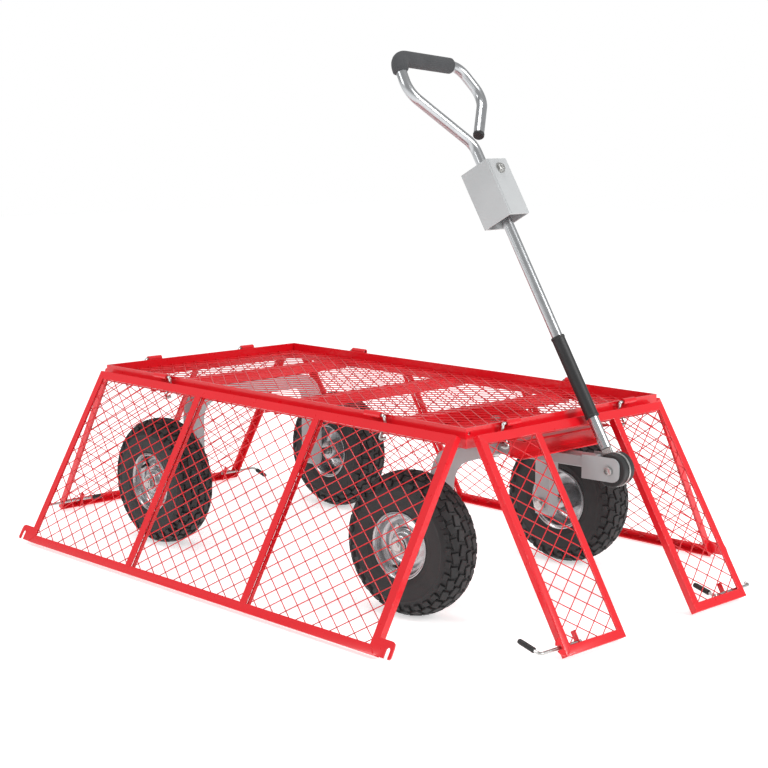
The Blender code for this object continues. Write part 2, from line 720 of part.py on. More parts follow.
bore = bmesh.new()
rod(bore, (-0.04, -BOLT_FWD, BOLT_Z), (0.04, -BOLT_FWD, BOLT_Z), BOLT_R + GAP)
combine(clevis, bore, "DIFFERENCE")

bolt_bm = bmesh.new()
rod(bolt_bm, (-BOLT_END, -BOLT_FWD, BOLT_Z), (BOLT_END, -BOLT_FWD, BOLT_Z), BOLT_R)
clevis_bolt = add_object("clevis_bolt", bolt_bm, ZINC, steer, True)
for side in (-1, 1):
    head = bmesh.new()
    inner = side * (plate_out + GAP)
    outer = side * (plate_out + GAP + BOLT_HEAD_HIGH)
    rod(head, (inner, -BOLT_FWD, BOLT_Z), (outer, -BOLT_FWD, BOLT_Z), BOLT_HEAD_R, 6)
    combine(clevis_bolt, head, "UNION")

disc_turn = pivot("disc_pivot", Matrix.Translation((0, -BOLT_FWD, BOLT_Z)), steer)
for disc_name, low, high in (("right", -DISC_OUTER, -DISC_INNER), ("left", DISC_INNER, DISC_OUTER)):
    disc_bm = bmesh.new()
    rod(disc_bm, (low, 0, 0), (high, 0, 0), DISC_R, 24)
    disc = add_object("friction_disc_" + disc_name, disc_bm, BLACK, disc_turn, True)
    bore = bmesh.new()
    rod(bore, (-0.03, 0, 0), (0.03, 0, 0), BOLT_R + GAP)
    combine(disc, bore, "DIFFERENCE")

lean = Matrix.Rotation(math.radians(-HANDLE_LEAN), 4, "X")
handle = pivot("handle_pivot", lean, disc_turn)

tongue_bm = bmesh.new()
rod(tongue_bm, (-TONGUE_HALF, 0, 0), (TONGUE_HALF, 0, 0), TONGUE_R, 24)
tongue = add_object("handle_tongue", tongue_bm, ZINC, handle)
shank = bmesh.new()
box(shank, (-TONGUE_HALF, -TUBE_R, 0.005), (TONGUE_HALF, TUBE_R, TUBE_START - GAP))
combine(tongue, shank, "UNION")
bore = bmesh.new()
rod(bore, (-0.03, 0, 0), (0.03, 0, 0), BOLT_R + GAP)
combine(tongue, bore, "DIFFERENCE")

tube_bm = bmesh.new()
rod(tube_bm, (0, 0, TUBE_START), (0, 0, HITCH_END), TUBE_R, 16)
add_object("handle_tube", tube_bm, ZINC, handle, True)

sleeve_bm = bmesh.new()
rod(sleeve_bm, (0, 0, SLEEVE_START), (0, 0, SLEEVE_END), SLEEVE_R, 16)
sleeve = add_object("handle_sleeve", sleeve_bm, BLACK, handle, True)
bore = bmesh.new()
rod(bore, (0, 0, SLEEVE_START - 0.01), (0, 0, SLEEVE_END + 0.01), TUBE_R + GAP, 16)
combine(sleeve, bore, "DIFFERENCE")

hitch_bm = bmesh.new()
box(
    hitch_bm, (-HITCH_WIDE / 2, -HITCH_DEEP / 2, HITCH_START), (HITCH_WIDE / 2, HITCH_DEEP / 2, HITCH_END)
)
hitch = add_object("hitch_box", hitch_bm, GREY, handle)
hollow = bmesh.new()
box(
    hollow, (-HITCH_WIDE / 2 + STEEL, -HITCH_DEEP / 2 + STEEL, HITCH_START - 0.01),
    (HITCH_WIDE / 2 - STEEL, HITCH_DEEP / 2 - STEEL, HITCH_END - STEEL),
)
combine(hitch, hollow, "DIFFERENCE")
bore = bmesh.new()
rod(bore, (0, 0, HITCH_END - 0.02), (0, 0, HITCH_END + 0.02), TUBE_R + GAP, 16)
combine(hitch, bore, "DIFFERENCE")
bolt_z = HITCH_END - HITCH_BOLT_DROP
face = -HITCH_DEEP / 2
bore = bmesh.new()
rod(bore, (0, face - 0.01, bolt_z), (0, face + 0.02, bolt_z), HITCH_BOLT_R + GAP)
combine(hitch, bore, "DIFFERENCE")
hitch_bolt_bm = bmesh.new()
rod(hitch_bolt_bm, (0, face - 0.003, bolt_z), (0, -TUBE_R - 0.001, bolt_z), HITCH_BOLT_R)
hitch_bolt = add_object("hitch_bolt", hitch_bolt_bm, ZINC, handle, True)
head = bmesh.new()
rod(head, (0, face - GAP, bolt_z), (0, face - 0.005, bolt_z), BOLT_HEAD_R, 6)
combine(hitch_bolt, head, "UNION")

LOOP_CORNERS = (
    (0.0, LOOP_START), (0.0, 0.648), (-0.124, 0.757), (-0.116, 0.828),
    (0.058, 0.814), (0.092, 0.748), (0.030, 0.671),
)
LOOP_RADII = (0.035, 0.045, 0.024, 0.040, 0.040)
loop_points = [(x, 0.0, z) for x, z in LOOP_CORNERS]
loop_path = round_corners(loop_points, LOOP_RADII, BEND_STEPS)
bent_tube("grip_loop", loop_path, TUBE_R, ZINC, handle, 4)

# the foam follows the loop from half way up its left side, round the corner and along the top
foam_points = [(-0.1194, 0.0, 0.798), (-0.116, 0.0, 0.828), (0.034, 0.0, 0.8159)]
foam_path = round_corners(foam_points, (0.024,), BEND_STEPS)
foam = bent_tube("foam_grip", foam_path, FOAM_R, FOAM, handle, 4)
first = (foam_path[0] - foam_path[1]).normalized() * 0.004
last = (foam_path[-1] - foam_path[-2]).normalized() * 0.004
core_path = [foam_path[0] + first] + foam_path[1:-1] + [foam_path[-1] + last]
core = bent_tube("core", core_path, TUBE_R + 0.0005, FOAM, handle, 4)
bm = bmesh.new()
bm.from_mesh(core.data)
bpy.data.objects.remove(core, do_unlink=True)
combine(foam, bm, "DIFFERENCE")

end = Vector(loop_points[-1])
way = (end - Vector(loop_points[-2])).normalized()
cap_bm = bmesh.new()
rod(cap_bm, end + way * GAP, end + way * 0.006, TUBE_R + 0.001, 16)
add_object("loop_end_cap", cap_bm, BLACK, handle, True)


# ---------------------------------------------------------------- drop-down panels
MESH_W = STEEL + GAP + 0.0001            # the mesh lies just behind the rails' faces
MESH_GUIDE_W = MESH_W + WIRE + 0.0008
MESH_TOP = PANEL_TOP + STEEL + 0.004
MESH_END_GAP = STEEL + 0.002
PANEL_MESH = (MESH_LONG, MESH_SHORT)


def panel_frame(name, lean_angle, outward, origin):
    """Pivot of a folded panel: u along the hinge, v down the panel, w to its inner side."""
    tilt = math.radians(lean_angle)
    outward = Vector(outward)
    up = Vector((0, 0, 1))
    v = outward * math.sin(tilt) - up * math.cos(tilt)
    w = -outward * math.cos(tilt) - up * math.sin(tilt)
    u = v.cross(w)
    return pivot(name, axes_matrix(Vector(origin), u, v, w))


def v_cuts(height):
    return [PANEL_TOP, PANEL_TOP + STEEL, PANEL_TOP + RAIL, height - RAIL, height - STEEL, height]


def side_kind(u, v):
    if v < PANEL_TOP + STEEL or v > SIDE_HEIGHT - STEEL or abs(u) > SIDE_HALF - STEEL:
        return "rib"
    if abs(abs(u) - SIDE_MID_RAIL) < RAIL / 2:
        return "sheet"
    if v < PANEL_TOP + RAIL or v > SIDE_HEIGHT - RAIL or abs(u) > SIDE_HALF - RAIL:
        return "sheet"
    return "open"


side_cuts = ring_cuts(SIDE_HALF, 0, STEEL, RAIL)
for mid in (-SIDE_MID_RAIL, SIDE_MID_RAIL):
    side_cuts += [mid - RAIL / 2, mid + RAIL / 2]
side_cuts.sort()


def middle_rib(obj, u_high, height):
    """A middle rail's standing leg; it bridges the mesh and is held at both ends."""
    bm = bmesh.new()
    box(
        bm, (u_high - STEEL, PANEL_TOP + STEEL / 2, MESH_W + WIRE + 0.0005),
        (u_high, height - STEEL / 2, RAIL_DEPTH - 0.0005),
    )
    combine(obj, bm, "UNION")


def pin_holes(obj, places):
    """Let the hinge pins through the panel's upper ledge."""
    for u in places:
        hole = bmesh.new()
        box(
            hole, (u - PIN_SLOT_HALF, PANEL_TOP - 0.002, PIN_SLOT_LOW),
            (u + PIN_SLOT_HALF, PANEL_TOP + 0.005, PIN_SLOT_HIGH),
        )
        combine(obj, hole, "DIFFERENCE")


def hinge_pins(names, places, length, way, parent):
    """L-shaped pins: a shank inside each knuckle, a leg behind the panel and a bent tip."""
    for name, place in zip(names, places):
        leave = place + way * (length / 2 + PIN_LEG_OUT)
        points = [
            (place - way * (length / 2 - 0.004), 0, 0), (leave, 0, 0), (leave, 0.011, PIN_W),
            (leave, PIN_LEG_LENGTH, PIN_W),
            (leave + way * 0.008, PIN_LEG_LENGTH - 0.009, PIN_W + 0.0072),
        ]
        path = round_corners(points, (0.004, 0.004, 0.0032), 1)
        bent_tube("hinge_pin_" + name, path, PIN_R, ZINC, parent, 2)


def pin_leg_places(places, length, way):
    return [place + way * (length / 2 + PIN_LEG_OUT) for place in places]


def plates(outlines):
    """Plates cut to closed outlines, ready to be joined to a panel."""
    bm = bmesh.new()
    for outline in outlines:
        piece = flat_plate("plate", outline, STEEL, RED, None)
        bm.from_mesh(piece.data)
        bpy.data.objects.remove(piece, do_unlink=True)
    return bm


def hook_plates(obj):
    """Hooked plates at both ends of a side panel's free rail; the slot opens to the free edge."""
    slot_u = HALF_Y + PIVOT_OUT + ROD_W
    slot = 0.0048
    first = SIDE_HALF - STEEL / 2
    last = slot_u + 0.0115
    closed = ROD_V - 0.0052
    top = closed - 0.012
    bottom = SIDE_HEIGHT - 0.0005
    outlines = []
    for side in (-1, 1):
        outline = [
            (first, bottom), (first, top), (last - 0.008, top), (last - 0.002, top + 0.003),
            (last, top + 0.010), (last, bottom - 0.0035), (last - 0.003, bottom),
            (slot_u + slot, bottom), (slot_u + slot, closed + 0.003),
            (slot_u + slot * 0.5, closed), (slot_u - slot * 0.5, closed),
            (slot_u - slot, closed + 0.003), (slot_u - slot, bottom),
        ]
        outlines.append([(side * x, y) for x, y in outline])
    combine(obj, plates(outlines), "UNION")


def side_panel(side_name, outward):
    origin = (outward * (HALF_X + PIVOT_OUT), 0, DECK_TOP)
    frame = panel_frame("side_panel_" + side_name + "_pivot", SIDE_LEAN, (outward, 0, 0), origin)
    bm = ribbed_plate(side_cuts, v_cuts(SIDE_HEIGHT), side_kind, STEEL, RAIL_DEPTH)
    obj = add_object("side_frame_" + side_name, bm, RED, frame)
    for mid in (-SIDE_MID_RAIL, SIDE_MID_RAIL):
        middle_rib(obj, mid + RAIL / 2, SIDE_HEIGHT)
    hook_plates(obj)
    places = (-SIDE_HINGE_U, SIDE_HINGE_U)
    pin_holes(obj, pin_leg_places(places, SIDE_KNUCKLE_LENGTH, 1))
    names = (side_name + "_a", side_name + "_b")
    hinge_pins(names, places, SIDE_KNUCKLE_LENGTH, 1, frame)
    inner = SIDE_HALF - STEEL - GAP
    mesh_end = SIDE_HEIGHT - MESH_END_GAP
    lattice("side_mesh_" + side_name, -inner, inner, MESH_TOP, mesh_end, MESH_W, frame, PANEL_MESH)


def crank_point(distance, angle):
    return distance * math.cos(math.radians(angle)), distance * math.sin(math.radians(angle))


def latch_lever(name, parent, corners, radii, crank_u, angle):
    """A cranked rod on its own axis with a rubber grip on the crank."""
    axis = pivot(name + "_pivot", Matrix.Translation((0, ROD_V, ROD_W)), parent)
    bent_tube("latch_rod_" + name, round_corners(corners, radii, 2), ROD_R, ZINC, axis, 2)
    dv0, dw0 = crank_point(CRANK_LENGTH - GRIP_LENGTH, angle)
    dv1, dw1 = crank_point(CRANK_LENGTH + 0.003, angle)
    bm = bmesh.new()
    rod(bm, (crank_u, dv0, dw0), (crank_u, dv1, dw1), GRIP_R, 12)
    grip = add_object("latch_grip_" + name, bm, BLACK, axis, True)
    hole = bmesh.new()
    dv2, dw2 = crank_point(CRANK_LENGTH + 0.0005, angle)
    dv3, dw3 = crank_point(CRANK_LENGTH - GRIP_LENGTH - 0.01, angle)
    rod(hole, (crank_u, dv3, dw3), (crank_u, dv2, dw2), ROD_R + GAP, 12)
    combine(grip, hole, "DIFFERENCE")


def latches(outer_name, inner_name, frame, obj, outer_angle):
    """The panel's two levers, the slotted plate at its outer corner and the rod guides."""
    dv, dw = crank_point(CRANK_LENGTH, outer_angle)
    outer = [(-ROD_INNER_END, 0, 0), (-ROD_CRANK_OUT, 0, 0), (-ROD_CRANK_OUT, dv, dw)]
    latch_lever(outer_name, frame, outer, (0.006,), -ROD_CRANK_OUT, outer_angle)
    dv, dw = crank_point(CRANK_LENGTH, CRANK_ANGLE)
    tip = 0.010
    inner = [
        (ROD_TIP, tip * dv / CRANK_LENGTH, tip * dw / CRANK_LENGTH), (ROD_TIP, 0, 0),
        (ROD_CRANK_IN, 0, 0), (ROD_CRANK_IN, dv, dw),
    ]
    latch_lever(inner_name, frame, inner, (0.0045, 0.006), ROD_CRANK_IN, CRANK_ANGLE)
    edge = -END_HALF + STEEL / 2
    plate_r = 0.0165
    outline = arc((edge, ROD_V), plate_r, 270, 194, 6)
    outline += [(edge - 0.005, ROD_V - 0.0038), (edge - 0.005, ROD_V + 0.0038)]
    outline += arc((edge, ROD_V), plate_r, 166, 90, 6)
    combine(obj, plates([outline]), "UNION")
    guides = bmesh.new()
    for u in (-GUIDE_U - STEEL, GUIDE_U):
        box(guides, (u, GUIDE_TOP, MESH_GUIDE_W), (u + STEEL, END_HEIGHT - STEEL / 2, GUIDE_DEPTH))
    combine(obj, guides, "UNION")
    holes = bmesh.new()
    for u in (-GUIDE_U - STEEL / 2, GUIDE_U + STEEL / 2, -END_HALF, END_HALF):
        rod(holes, (u - 0.008, ROD_V, ROD_W), (u + 0.008, ROD_V, ROD_W), ROD_R + 0.0004)
    combine(obj, holes, "DIFFERENCE")


def front_kind(u, v):
    if v > PANEL_TOP + RAIL and abs(u) < NOTCH_HALF:
        return "open"
    if v < PANEL_TOP + STEEL or v > END_HEIGHT - STEEL or abs(u) > END_HALF - STEEL:
        return "rib"
    if v > PANEL_TOP + RAIL and abs(u) < NOTCH_HALF + STEEL:
        return "rib"
    if v < PANEL_TOP + RAIL or v > END_HEIGHT - RAIL or abs(u) > END_HALF - RAIL:
        return "sheet"
    if abs(u) < NOTCH_HALF + RAIL:
        return "sheet"
    return "open"


def rear_kind(u, v):
    if v < PANEL_TOP + STEEL or v > END_HEIGHT - STEEL or abs(u) > END_HALF - STEEL:
        return "rib"
    if v < PANEL_TOP + RAIL or v > END_HEIGHT - RAIL or abs(u) > END_HALF - RAIL:
        return "sheet"
    if abs(u) < RAIL / 2:
        return "sheet"
    return "open"


def end_panel(end_name, outward, cuts, kind, hinge_u, way, fields, levers):
    origin = (0, outward * (HALF_Y + PIVOT_OUT), DECK_TOP)
    frame = panel_frame(end_name + "_panel_pivot", END_LEAN, (0, outward, 0), origin)
    bm = ribbed_plate(sorted(cuts), v_cuts(END_HEIGHT), kind, STEEL, RAIL_DEPTH)
    obj = add_object(end_name + "_frame", bm, RED, frame)
    if end_name == "rear":
        middle_rib(obj, RAIL / 2, END_HEIGHT)
    places = (-hinge_u, hinge_u)
    pin_holes(obj, pin_leg_places(places, END_KNUCKLE_LENGTH, way))
    names = (end_name + "_a", end_name + "_b")
    hinge_pins(names, places, END_KNUCKLE_LENGTH, way, frame)
    for mesh_name, low, high in fields:
        mesh_end = END_HEIGHT - MESH_END_GAP
        lattice(mesh_name, low, high, MESH_TOP, mesh_end, MESH_W, frame, PANEL_MESH)
    latches(levers[0], levers[1], frame, obj, levers[2])


for side_name, outward in (("right", -1), ("left", 1)):
    side_panel(side_name, outward)

leg_low = NOTCH_HALF + STEEL + GAP
leg_high = END_HALF - STEEL - GAP
end_panel(
    "front", -1,
    ring_cuts(END_HALF, 0, STEEL, RAIL, END_HALF - NOTCH_HALF, END_HALF - NOTCH_HALF - STEEL,
              END_HALF - NOTCH_HALF - RAIL),
    front_kind, FRONT_HINGE_U, -1,
    (("front_mesh_right", -leg_high, -leg_low), ("front_mesh_left", leg_low, leg_high)),
    ("front_right", "front_left", CRANK_ANGLE),
)
end_panel(
    "rear", 1,
    ring_cuts(END_HALF, 0, STEEL, RAIL) + [-RAIL / 2, RAIL / 2],
    rear_kind, REAR_HINGE_U, 1,
    (("rear_mesh", -leg_high, leg_high),),
    ("rear_left", "rear_right", LOW_CRANK_ANGLE),
)
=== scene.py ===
"""Finished model of a four-wheel garden cart with drop-down mesh panels.

The CAD frame gives every size and place; this script gives the pieces their rounded edges, round
wires, tyre tread, welds and finishes. Metres, +Z up, the handle end faces -Y.
"""

import json
import math

import bmesh
import bpy
from mathutils import Matrix, Vector


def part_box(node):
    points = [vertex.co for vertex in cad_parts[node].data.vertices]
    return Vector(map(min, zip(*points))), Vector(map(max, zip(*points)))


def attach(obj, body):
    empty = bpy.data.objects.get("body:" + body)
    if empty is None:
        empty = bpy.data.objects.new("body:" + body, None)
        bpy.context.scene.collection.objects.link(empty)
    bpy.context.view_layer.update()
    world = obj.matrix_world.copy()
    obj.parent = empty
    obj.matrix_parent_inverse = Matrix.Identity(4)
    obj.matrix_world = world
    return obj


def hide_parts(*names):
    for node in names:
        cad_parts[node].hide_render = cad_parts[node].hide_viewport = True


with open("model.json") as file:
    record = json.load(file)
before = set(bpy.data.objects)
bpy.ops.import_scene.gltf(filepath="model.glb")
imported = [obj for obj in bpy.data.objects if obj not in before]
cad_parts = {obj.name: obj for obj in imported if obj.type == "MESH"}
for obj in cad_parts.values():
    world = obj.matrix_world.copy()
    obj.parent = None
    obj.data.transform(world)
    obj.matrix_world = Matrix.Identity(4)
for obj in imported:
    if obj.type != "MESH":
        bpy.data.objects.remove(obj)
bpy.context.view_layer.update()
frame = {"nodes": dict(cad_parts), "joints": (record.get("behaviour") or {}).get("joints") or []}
joints = {joint["name"]: joint for joint in frame["joints"]}
X_AXIS = Vector((1, 0, 0))
Y_AXIS = Vector((0, 1, 0))
Z_AXIS = Vector((0, 0, 1))

# ---------------------------------------------------------------- sizes, as in the CAD
# panels: angles from upright in degrees, and distances down from the hinge
SIDE_LEAN = 29.6
END_LEAN = 31.0
PANEL_TOP = 0.012
SIDE_BOTTOM = 0.400
END_BOTTOM = 0.404
RAIL = 0.0165            # width of a rail's face
STEEL = 0.003
SIDE_HALF = 0.520        # half lengths along the hinge
END_HALF = 0.254
NOTCH_HALF = 0.100       # half the gap in the front panel
SIDE_MID = 0.175         # middle rails of a side panel, out from its centre
MESH_W = 0.0034          # mesh level behind the rails' faces
MESH_CLEAR = 0.0015      # from a rail's inner wall to the wires' ends
WIRE_R = 0.00095
DIAMOND_LONG = 0.0435
DIAMOND_SHORT = 0.0307
# hinge pins
PIN_R = 0.0029
PIN_OUT = 0.007          # how far the bent leg stands from the knuckle
PIN_LEG = 0.043
PIN_W = 0.0092
# latch levers, about their own axis
LATCH_V = 0.386
LATCH_W = 0.0090
LATCH_INNER_END = 0.200
LATCH_TIP = 0.285
OUTER_CRANK = -0.302
INNER_CRANK = 0.178
CRANK_LENGTH = 0.045
GRIP_START = 0.013
CRANK_REST = 135.7       # degrees from the free-edge direction
LOW_CRANK_REST = 105.0   # the same for the rear panel's outer lever
# wheels and axles
WHEEL_R = 0.130
TRACK_HALF = 0.245
AXLE_R = 0.0079
AXLE_INNER = 0.140
AXLE_OUTER = 0.291
# handle
STEER_REST = 5.8
HANDLE_LEAN = 29.5
BOLT_FWD = 0.263
BOLT_Z = 0.258
TUBE_R = 0.010
SLEEVE_START = 0.100
HITCH_MIDDLE = 0.5465
HITCH_FACE = -0.033
HITCH_BOLT_Z = 0.583


# ---------------------------------------------------------------- materials
def linear(code):
    """An sRGB hex colour as linear RGBA."""
    parts = [int(code[i:i + 2], 16) / 255 for i in (1, 3, 5)]
    return [c / 12.92 if c <= 0.04045 else ((c + 0.055) / 1.055) ** 2.4 for c in parts] + [1.0]


def add(material, kind, links=None, **settings):
    """Add one node; links holds its input values and the outputs that feed it."""
    tree = material.node_tree
    made = tree.nodes.new(kind)
    for key, value in settings.items():
        setattr(made, key, value)
    for key, value in (links or {}).items():
        if isinstance(value, bpy.types.NodeSocket):
            tree.links.new(value, made.inputs[key])
        else:
            made.inputs[key].default_value = value
    return made


def new_material(name, **values):
    """A material with a Principled shader, and the Object coordinates its patterns read."""
    material = bpy.data.materials.new(name)
    material.use_nodes = True
    material.node_tree.nodes.clear()
    place = add(material, "ShaderNodeTexCoord").outputs["Object"]
    shader = add(material, "ShaderNodeBsdfPrincipled", values)
    add(material, "ShaderNodeOutputMaterial", {"Surface": shader.outputs["BSDF"]})
    return material, shader, place


def feed(material, output, shader, socket):
    """Link a pattern to one of the shader's inputs."""
    material.node_tree.links.new(output, shader.inputs[socket])


def speckle(material, place, size, detail=2.0, rough=0.5):
    """Noise whose grains are about this many metres across."""
    return add(
        material, "ShaderNodeTexNoise",
        {"Vector": place, "Scale": 1.0 / size, "Detail": detail, "Roughness": rough},
    ).outputs["Fac"]


def spread(material, value, low, high, start=0.3, end=0.7):
    """Map a noise value to a range of numbers."""
    return add(
        material, "ShaderNodeMapRange",
        {"Value": value, "From Min": start, "From Max": end, "To Min": low, "To Max": high},
    ).outputs["Result"]


def two_tone(material, factor, first, second):
    """Blend two close colours by a factor."""
    mix = add(material, "ShaderNodeMix", {"Factor": factor}, data_type="RGBA")
    mix.inputs["A"].default_value = linear(first)
    mix.inputs["B"].default_value = linear(second)
    return mix.outputs["Result"]


def relief(material, shader, height, distance):
    """Fine relief of the given depth in metres."""
    bump = add(material, "ShaderNodeBump", {"Height": height, "Distance": distance, "Strength": 1.0})
    feed(material, bump.outputs["Normal"], shader, "Normal")


def powder_coat(name, colour, shade, gloss_low, gloss_high, peel=0.00002):
    """Baked powder paint over steel: an even colour, a soft gloss and a fine orange peel."""
    material, shader, place = new_material(
        name, **{"Metallic": 0.0, "IOR": 1.5, "Specular IOR Level": 0.35, "Coat Weight": 0.35,
                 "Coat Roughness": 0.10},
    )
    broad = speckle(material, place, 0.09, 3.0)
    feed(material, two_tone(material, spread(material, broad, 0, 1), colour, shade), shader, "Base Color")
    scuffs = speckle(material, place, 0.014, 4.0, 0.65)
    feed(material, spread(material, scuffs, gloss_low, gloss_high), shader, "Roughness")
    # the peel of powder paint is about 1.6 mm from crest to crest
    relief(material, shader, speckle(material, place, 0.0016, 1.0), peel)
    return material


def plated(name, colour, shade, rough_low, rough_high):
    """Bright plated steel: a cool metal with faint clouding and a fine satin grain."""
    material, shader, place = new_material(name, Metallic=1.0)
    cloud = speckle(material, place, 0.022, 3.0)
    feed(material, two_tone(material, spread(material, cloud, 0, 1), colour, shade), shader, "Base Color")
    # the grain is finer than 0.8 mm on real plating, drawn coarser so that it shows
    grain = speckle(material, place, 0.0008, 2.0)
    feed(material, spread(material, grain, rough_low, rough_high), shader, "Roughness")
    relief(material, shader, grain, 0.000002)
    return material


def moulded(name, colour, shade, rough_low, rough_high, grain, depth):
    """Moulded rubber or foam: a dull dark skin with a fine grain and a pale bloom."""
    material, shader, place = new_material(name, **{"Metallic": 0.0, "IOR": 1.52})
    bloom = speckle(material, place, 0.03, 4.0, 0.6)
    feed(material, two_tone(material, spread(material, bloom, 0, 1), colour, shade), shader, "Base Color")
    skin = speckle(material, place, grain, 2.0)
    feed(material, spread(material, skin, rough_low, rough_high), shader, "Roughness")
    relief(material, shader, skin, depth)
    return material


RED = powder_coat("red_powder_coat", "#D80C1C", "#D20B1A", 0.27, 0.31, 0.00001)
RED_WIRE = powder_coat("red_powder_coat_on_wire", "#D40C1C", "#C60A18", 0.34, 0.44, 0.00001)
GREY = powder_coat("grey_powder_coat", "#A9ACAD", "#9C9FA0", 0.34, 0.46)
SILVER = powder_coat("silver_powder_coat", "#B2B4B5", "#A8AAAB", 0.34, 0.46)
TUBE = plated("zinc_plated_tube", "#B8BABC", "#ACAEB0", 0.24, 0.30)
BRIGHT = plated("zinc_plated_hardware", "#C4C4C2", "#B2B2B0", 0.22, 0.36)
RIM_STEEL = plated("silver_pressed_steel", "#BCBEBF", "#A6A8AA", 0.24, 0.34)
BLACK = moulded("black_moulded_rubber", "#121213", "#1A1A1B", 0.45, 0.60, 0.0009, 0.00003)
FOAM = moulded("closed_cell_foam", "#38393B", "#444547", 0.80, 0.95, 0.0011, 0.00012)
TYRE = moulded("tyre_rubber", "#141415", "#1E1E1F", 0.52, 0.68, 0.0012, 0.00005)


# ---------------------------------------------------------------- making pieces
def finish_piece(name, bm, material, body, nodes=(), sharp=35, weighted=False):
    """Turn a bmesh in world coordinates into a piece that rides on a body."""
    mesh = bpy.data.meshes.new(name)
    bm.to_mesh(mesh)
    bm.free()
    mesh.shade_smooth()
    mesh.set_sharp_from_angle(angle=math.radians(sharp))
    mesh.materials.append(material)
    obj = bpy.data.objects.new(name, mesh)
    bpy.context.scene.collection.objects.link(obj)
    if weighted:
        normals = obj.modifiers.new("even_normals", "WEIGHTED_NORMAL")
        normals.keep_sharp = True
    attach(obj, body)
    if nodes:
        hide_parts(*nodes)
    return obj


def soften(name, node, body, material, width=0.0012, shortest=0.012, segments=3):
    """A CAD node's own shape with its long edges rounded."""
    bm = bmesh.new()
    bm.from_mesh(frame["nodes"][node].data)
    bmesh.ops.remove_doubles(bm, verts=bm.verts, dist=0.00002)
    bmesh.ops.dissolve_limit(bm, angle_limit=math.radians(1), verts=bm.verts, edges=bm.edges)
    long_edges = [
        e for e in bm.edges
        if len(e.link_faces) == 2 and e.calc_face_angle() > math.radians(35) and e.calc_length() > shortest
    ]
    bmesh.ops.bevel(
        bm, geom=long_edges, offset=width, segments=segments, profile=0.5, affect="EDGES",
        clamp_overlap=True, material=-1,
    )
    return finish_piece(name, bm, material, body, (node,), 50, True)


def spin_profile(profile, axis_frame, steps, closed=True):
    """Spin an (along, radius) profile about the frame's X axis."""
    bm = bmesh.new()
    ring = [bm.verts.new((x, 0, r)) for x, r in profile]
    count = len(ring) if closed else len(ring) - 1
    edges = [bm.edges.new((ring[i], ring[(i + 1) % len(ring)])) for i in range(count)]
    bmesh.ops.spin(
        bm, geom=ring + edges, cent=(0, 0, 0), axis=X_AXIS, angle=math.tau, steps=steps, use_merge=True
    )
    bmesh.ops.remove_doubles(bm, verts=bm.verts, dist=0.000005)
    bmesh.ops.recalc_face_normals(bm, faces=bm.faces)
    bmesh.ops.transform(bm, matrix=axis_frame, verts=bm.verts)
    return bm


def joined(*parts):
    """One bmesh holding all the given ones."""
    whole = bmesh.new()
    for part in parts:
        mesh = bpy.data.meshes.new("part")
        part.to_mesh(mesh)
        part.free()
        whole.from_mesh(mesh)
        bpy.data.meshes.remove(mesh)
    return whole


def facing(start, way):
    """A frame at a point whose X axis looks along a direction."""
    return Matrix.Translation(start) @ Vector(way).to_track_quat("X", "Z").to_matrix().to_4x4()


def bend(points, radii, steps=8):
    """A path with each inner corner turned into an arc."""
    path = [Vector(points[0])]
    for before, corner, after, radius in zip(points, points[1:], points[2:], radii):
        corner = Vector(corner)
        back = (Vector(before) - corner).normalized()
        ahead = (Vector(after) - corner).normalized()
        half = back.angle(ahead) / 2
        centre = corner + (back + ahead).normalized() * (radius / math.sin(half))
        first = (corner + back * (radius / math.tan(half)) - centre).normalized()
        last = (corner + ahead * (radius / math.tan(half)) - centre).normalized()
        path += [centre + first.slerp(last, step / steps) * radius for step in range(steps + 1)]
    path.append(Vector(points[-1]))
    return path


def swept(path, radii, sides, place):
    """A round bar along a path, one radius for each of its points."""
    bm = bmesh.new()
    rings = []
    along = (path[1] - path[0]).normalized()
    turn = along.to_track_quat("Z", "Y")
    for index, point in enumerate(path):
        before = path[max(index - 1, 0)]
        after = path[min(index + 1, len(path) - 1)]
        ahead = (after - before).normalized()
        turn = along.rotation_difference(ahead) @ turn
        along = ahead
        matrix = Matrix.Translation(point) @ turn.to_matrix().to_4x4()
        made = bmesh.ops.create_circle(bm, segments=sides, radius=radii[index], matrix=matrix)
        ring = made["verts"]
        rings.append([e for e in bm.edges if e.verts[0] in ring and e.verts[1] in ring])
    for near, far in zip(rings, rings[1:]):
        bmesh.ops.bridge_loops(bm, edges=near + far)
    bmesh.ops.contextual_create(bm, geom=rings[0])
    bmesh.ops.contextual_create(bm, geom=rings[-1])
    bmesh.ops.recalc_face_normals(bm, faces=bm.faces)
    bmesh.ops.transform(bm, matrix=place, verts=bm.verts)
    return bm


def bar(path, radius, sides, place, rounding=0.0):
    """A bar of one thickness, with its two ends rounded over."""
    if not rounding:
        return swept(path, [radius] * len(path), sides, place)
    first = (path[1] - path[0]).normalized()
    last = (path[-1] - path[-2]).normalized()
    ends = [(0.0, 1.0), (0.35, 0.55), (1.0, 0.0)]
    points = [path[0] + first * rounding * out for out, _ in ends]
    sizes = [radius - rounding * inset for _, inset in ends]
    points += path[1:-1]
    sizes += [radius] * (len(path) - 2)
    points += [path[-1] - last * rounding * out for out, _ in reversed(ends)]
    sizes += [radius - rounding * inset for _, inset in reversed(ends)]
    return swept(points, sizes, sides, place)


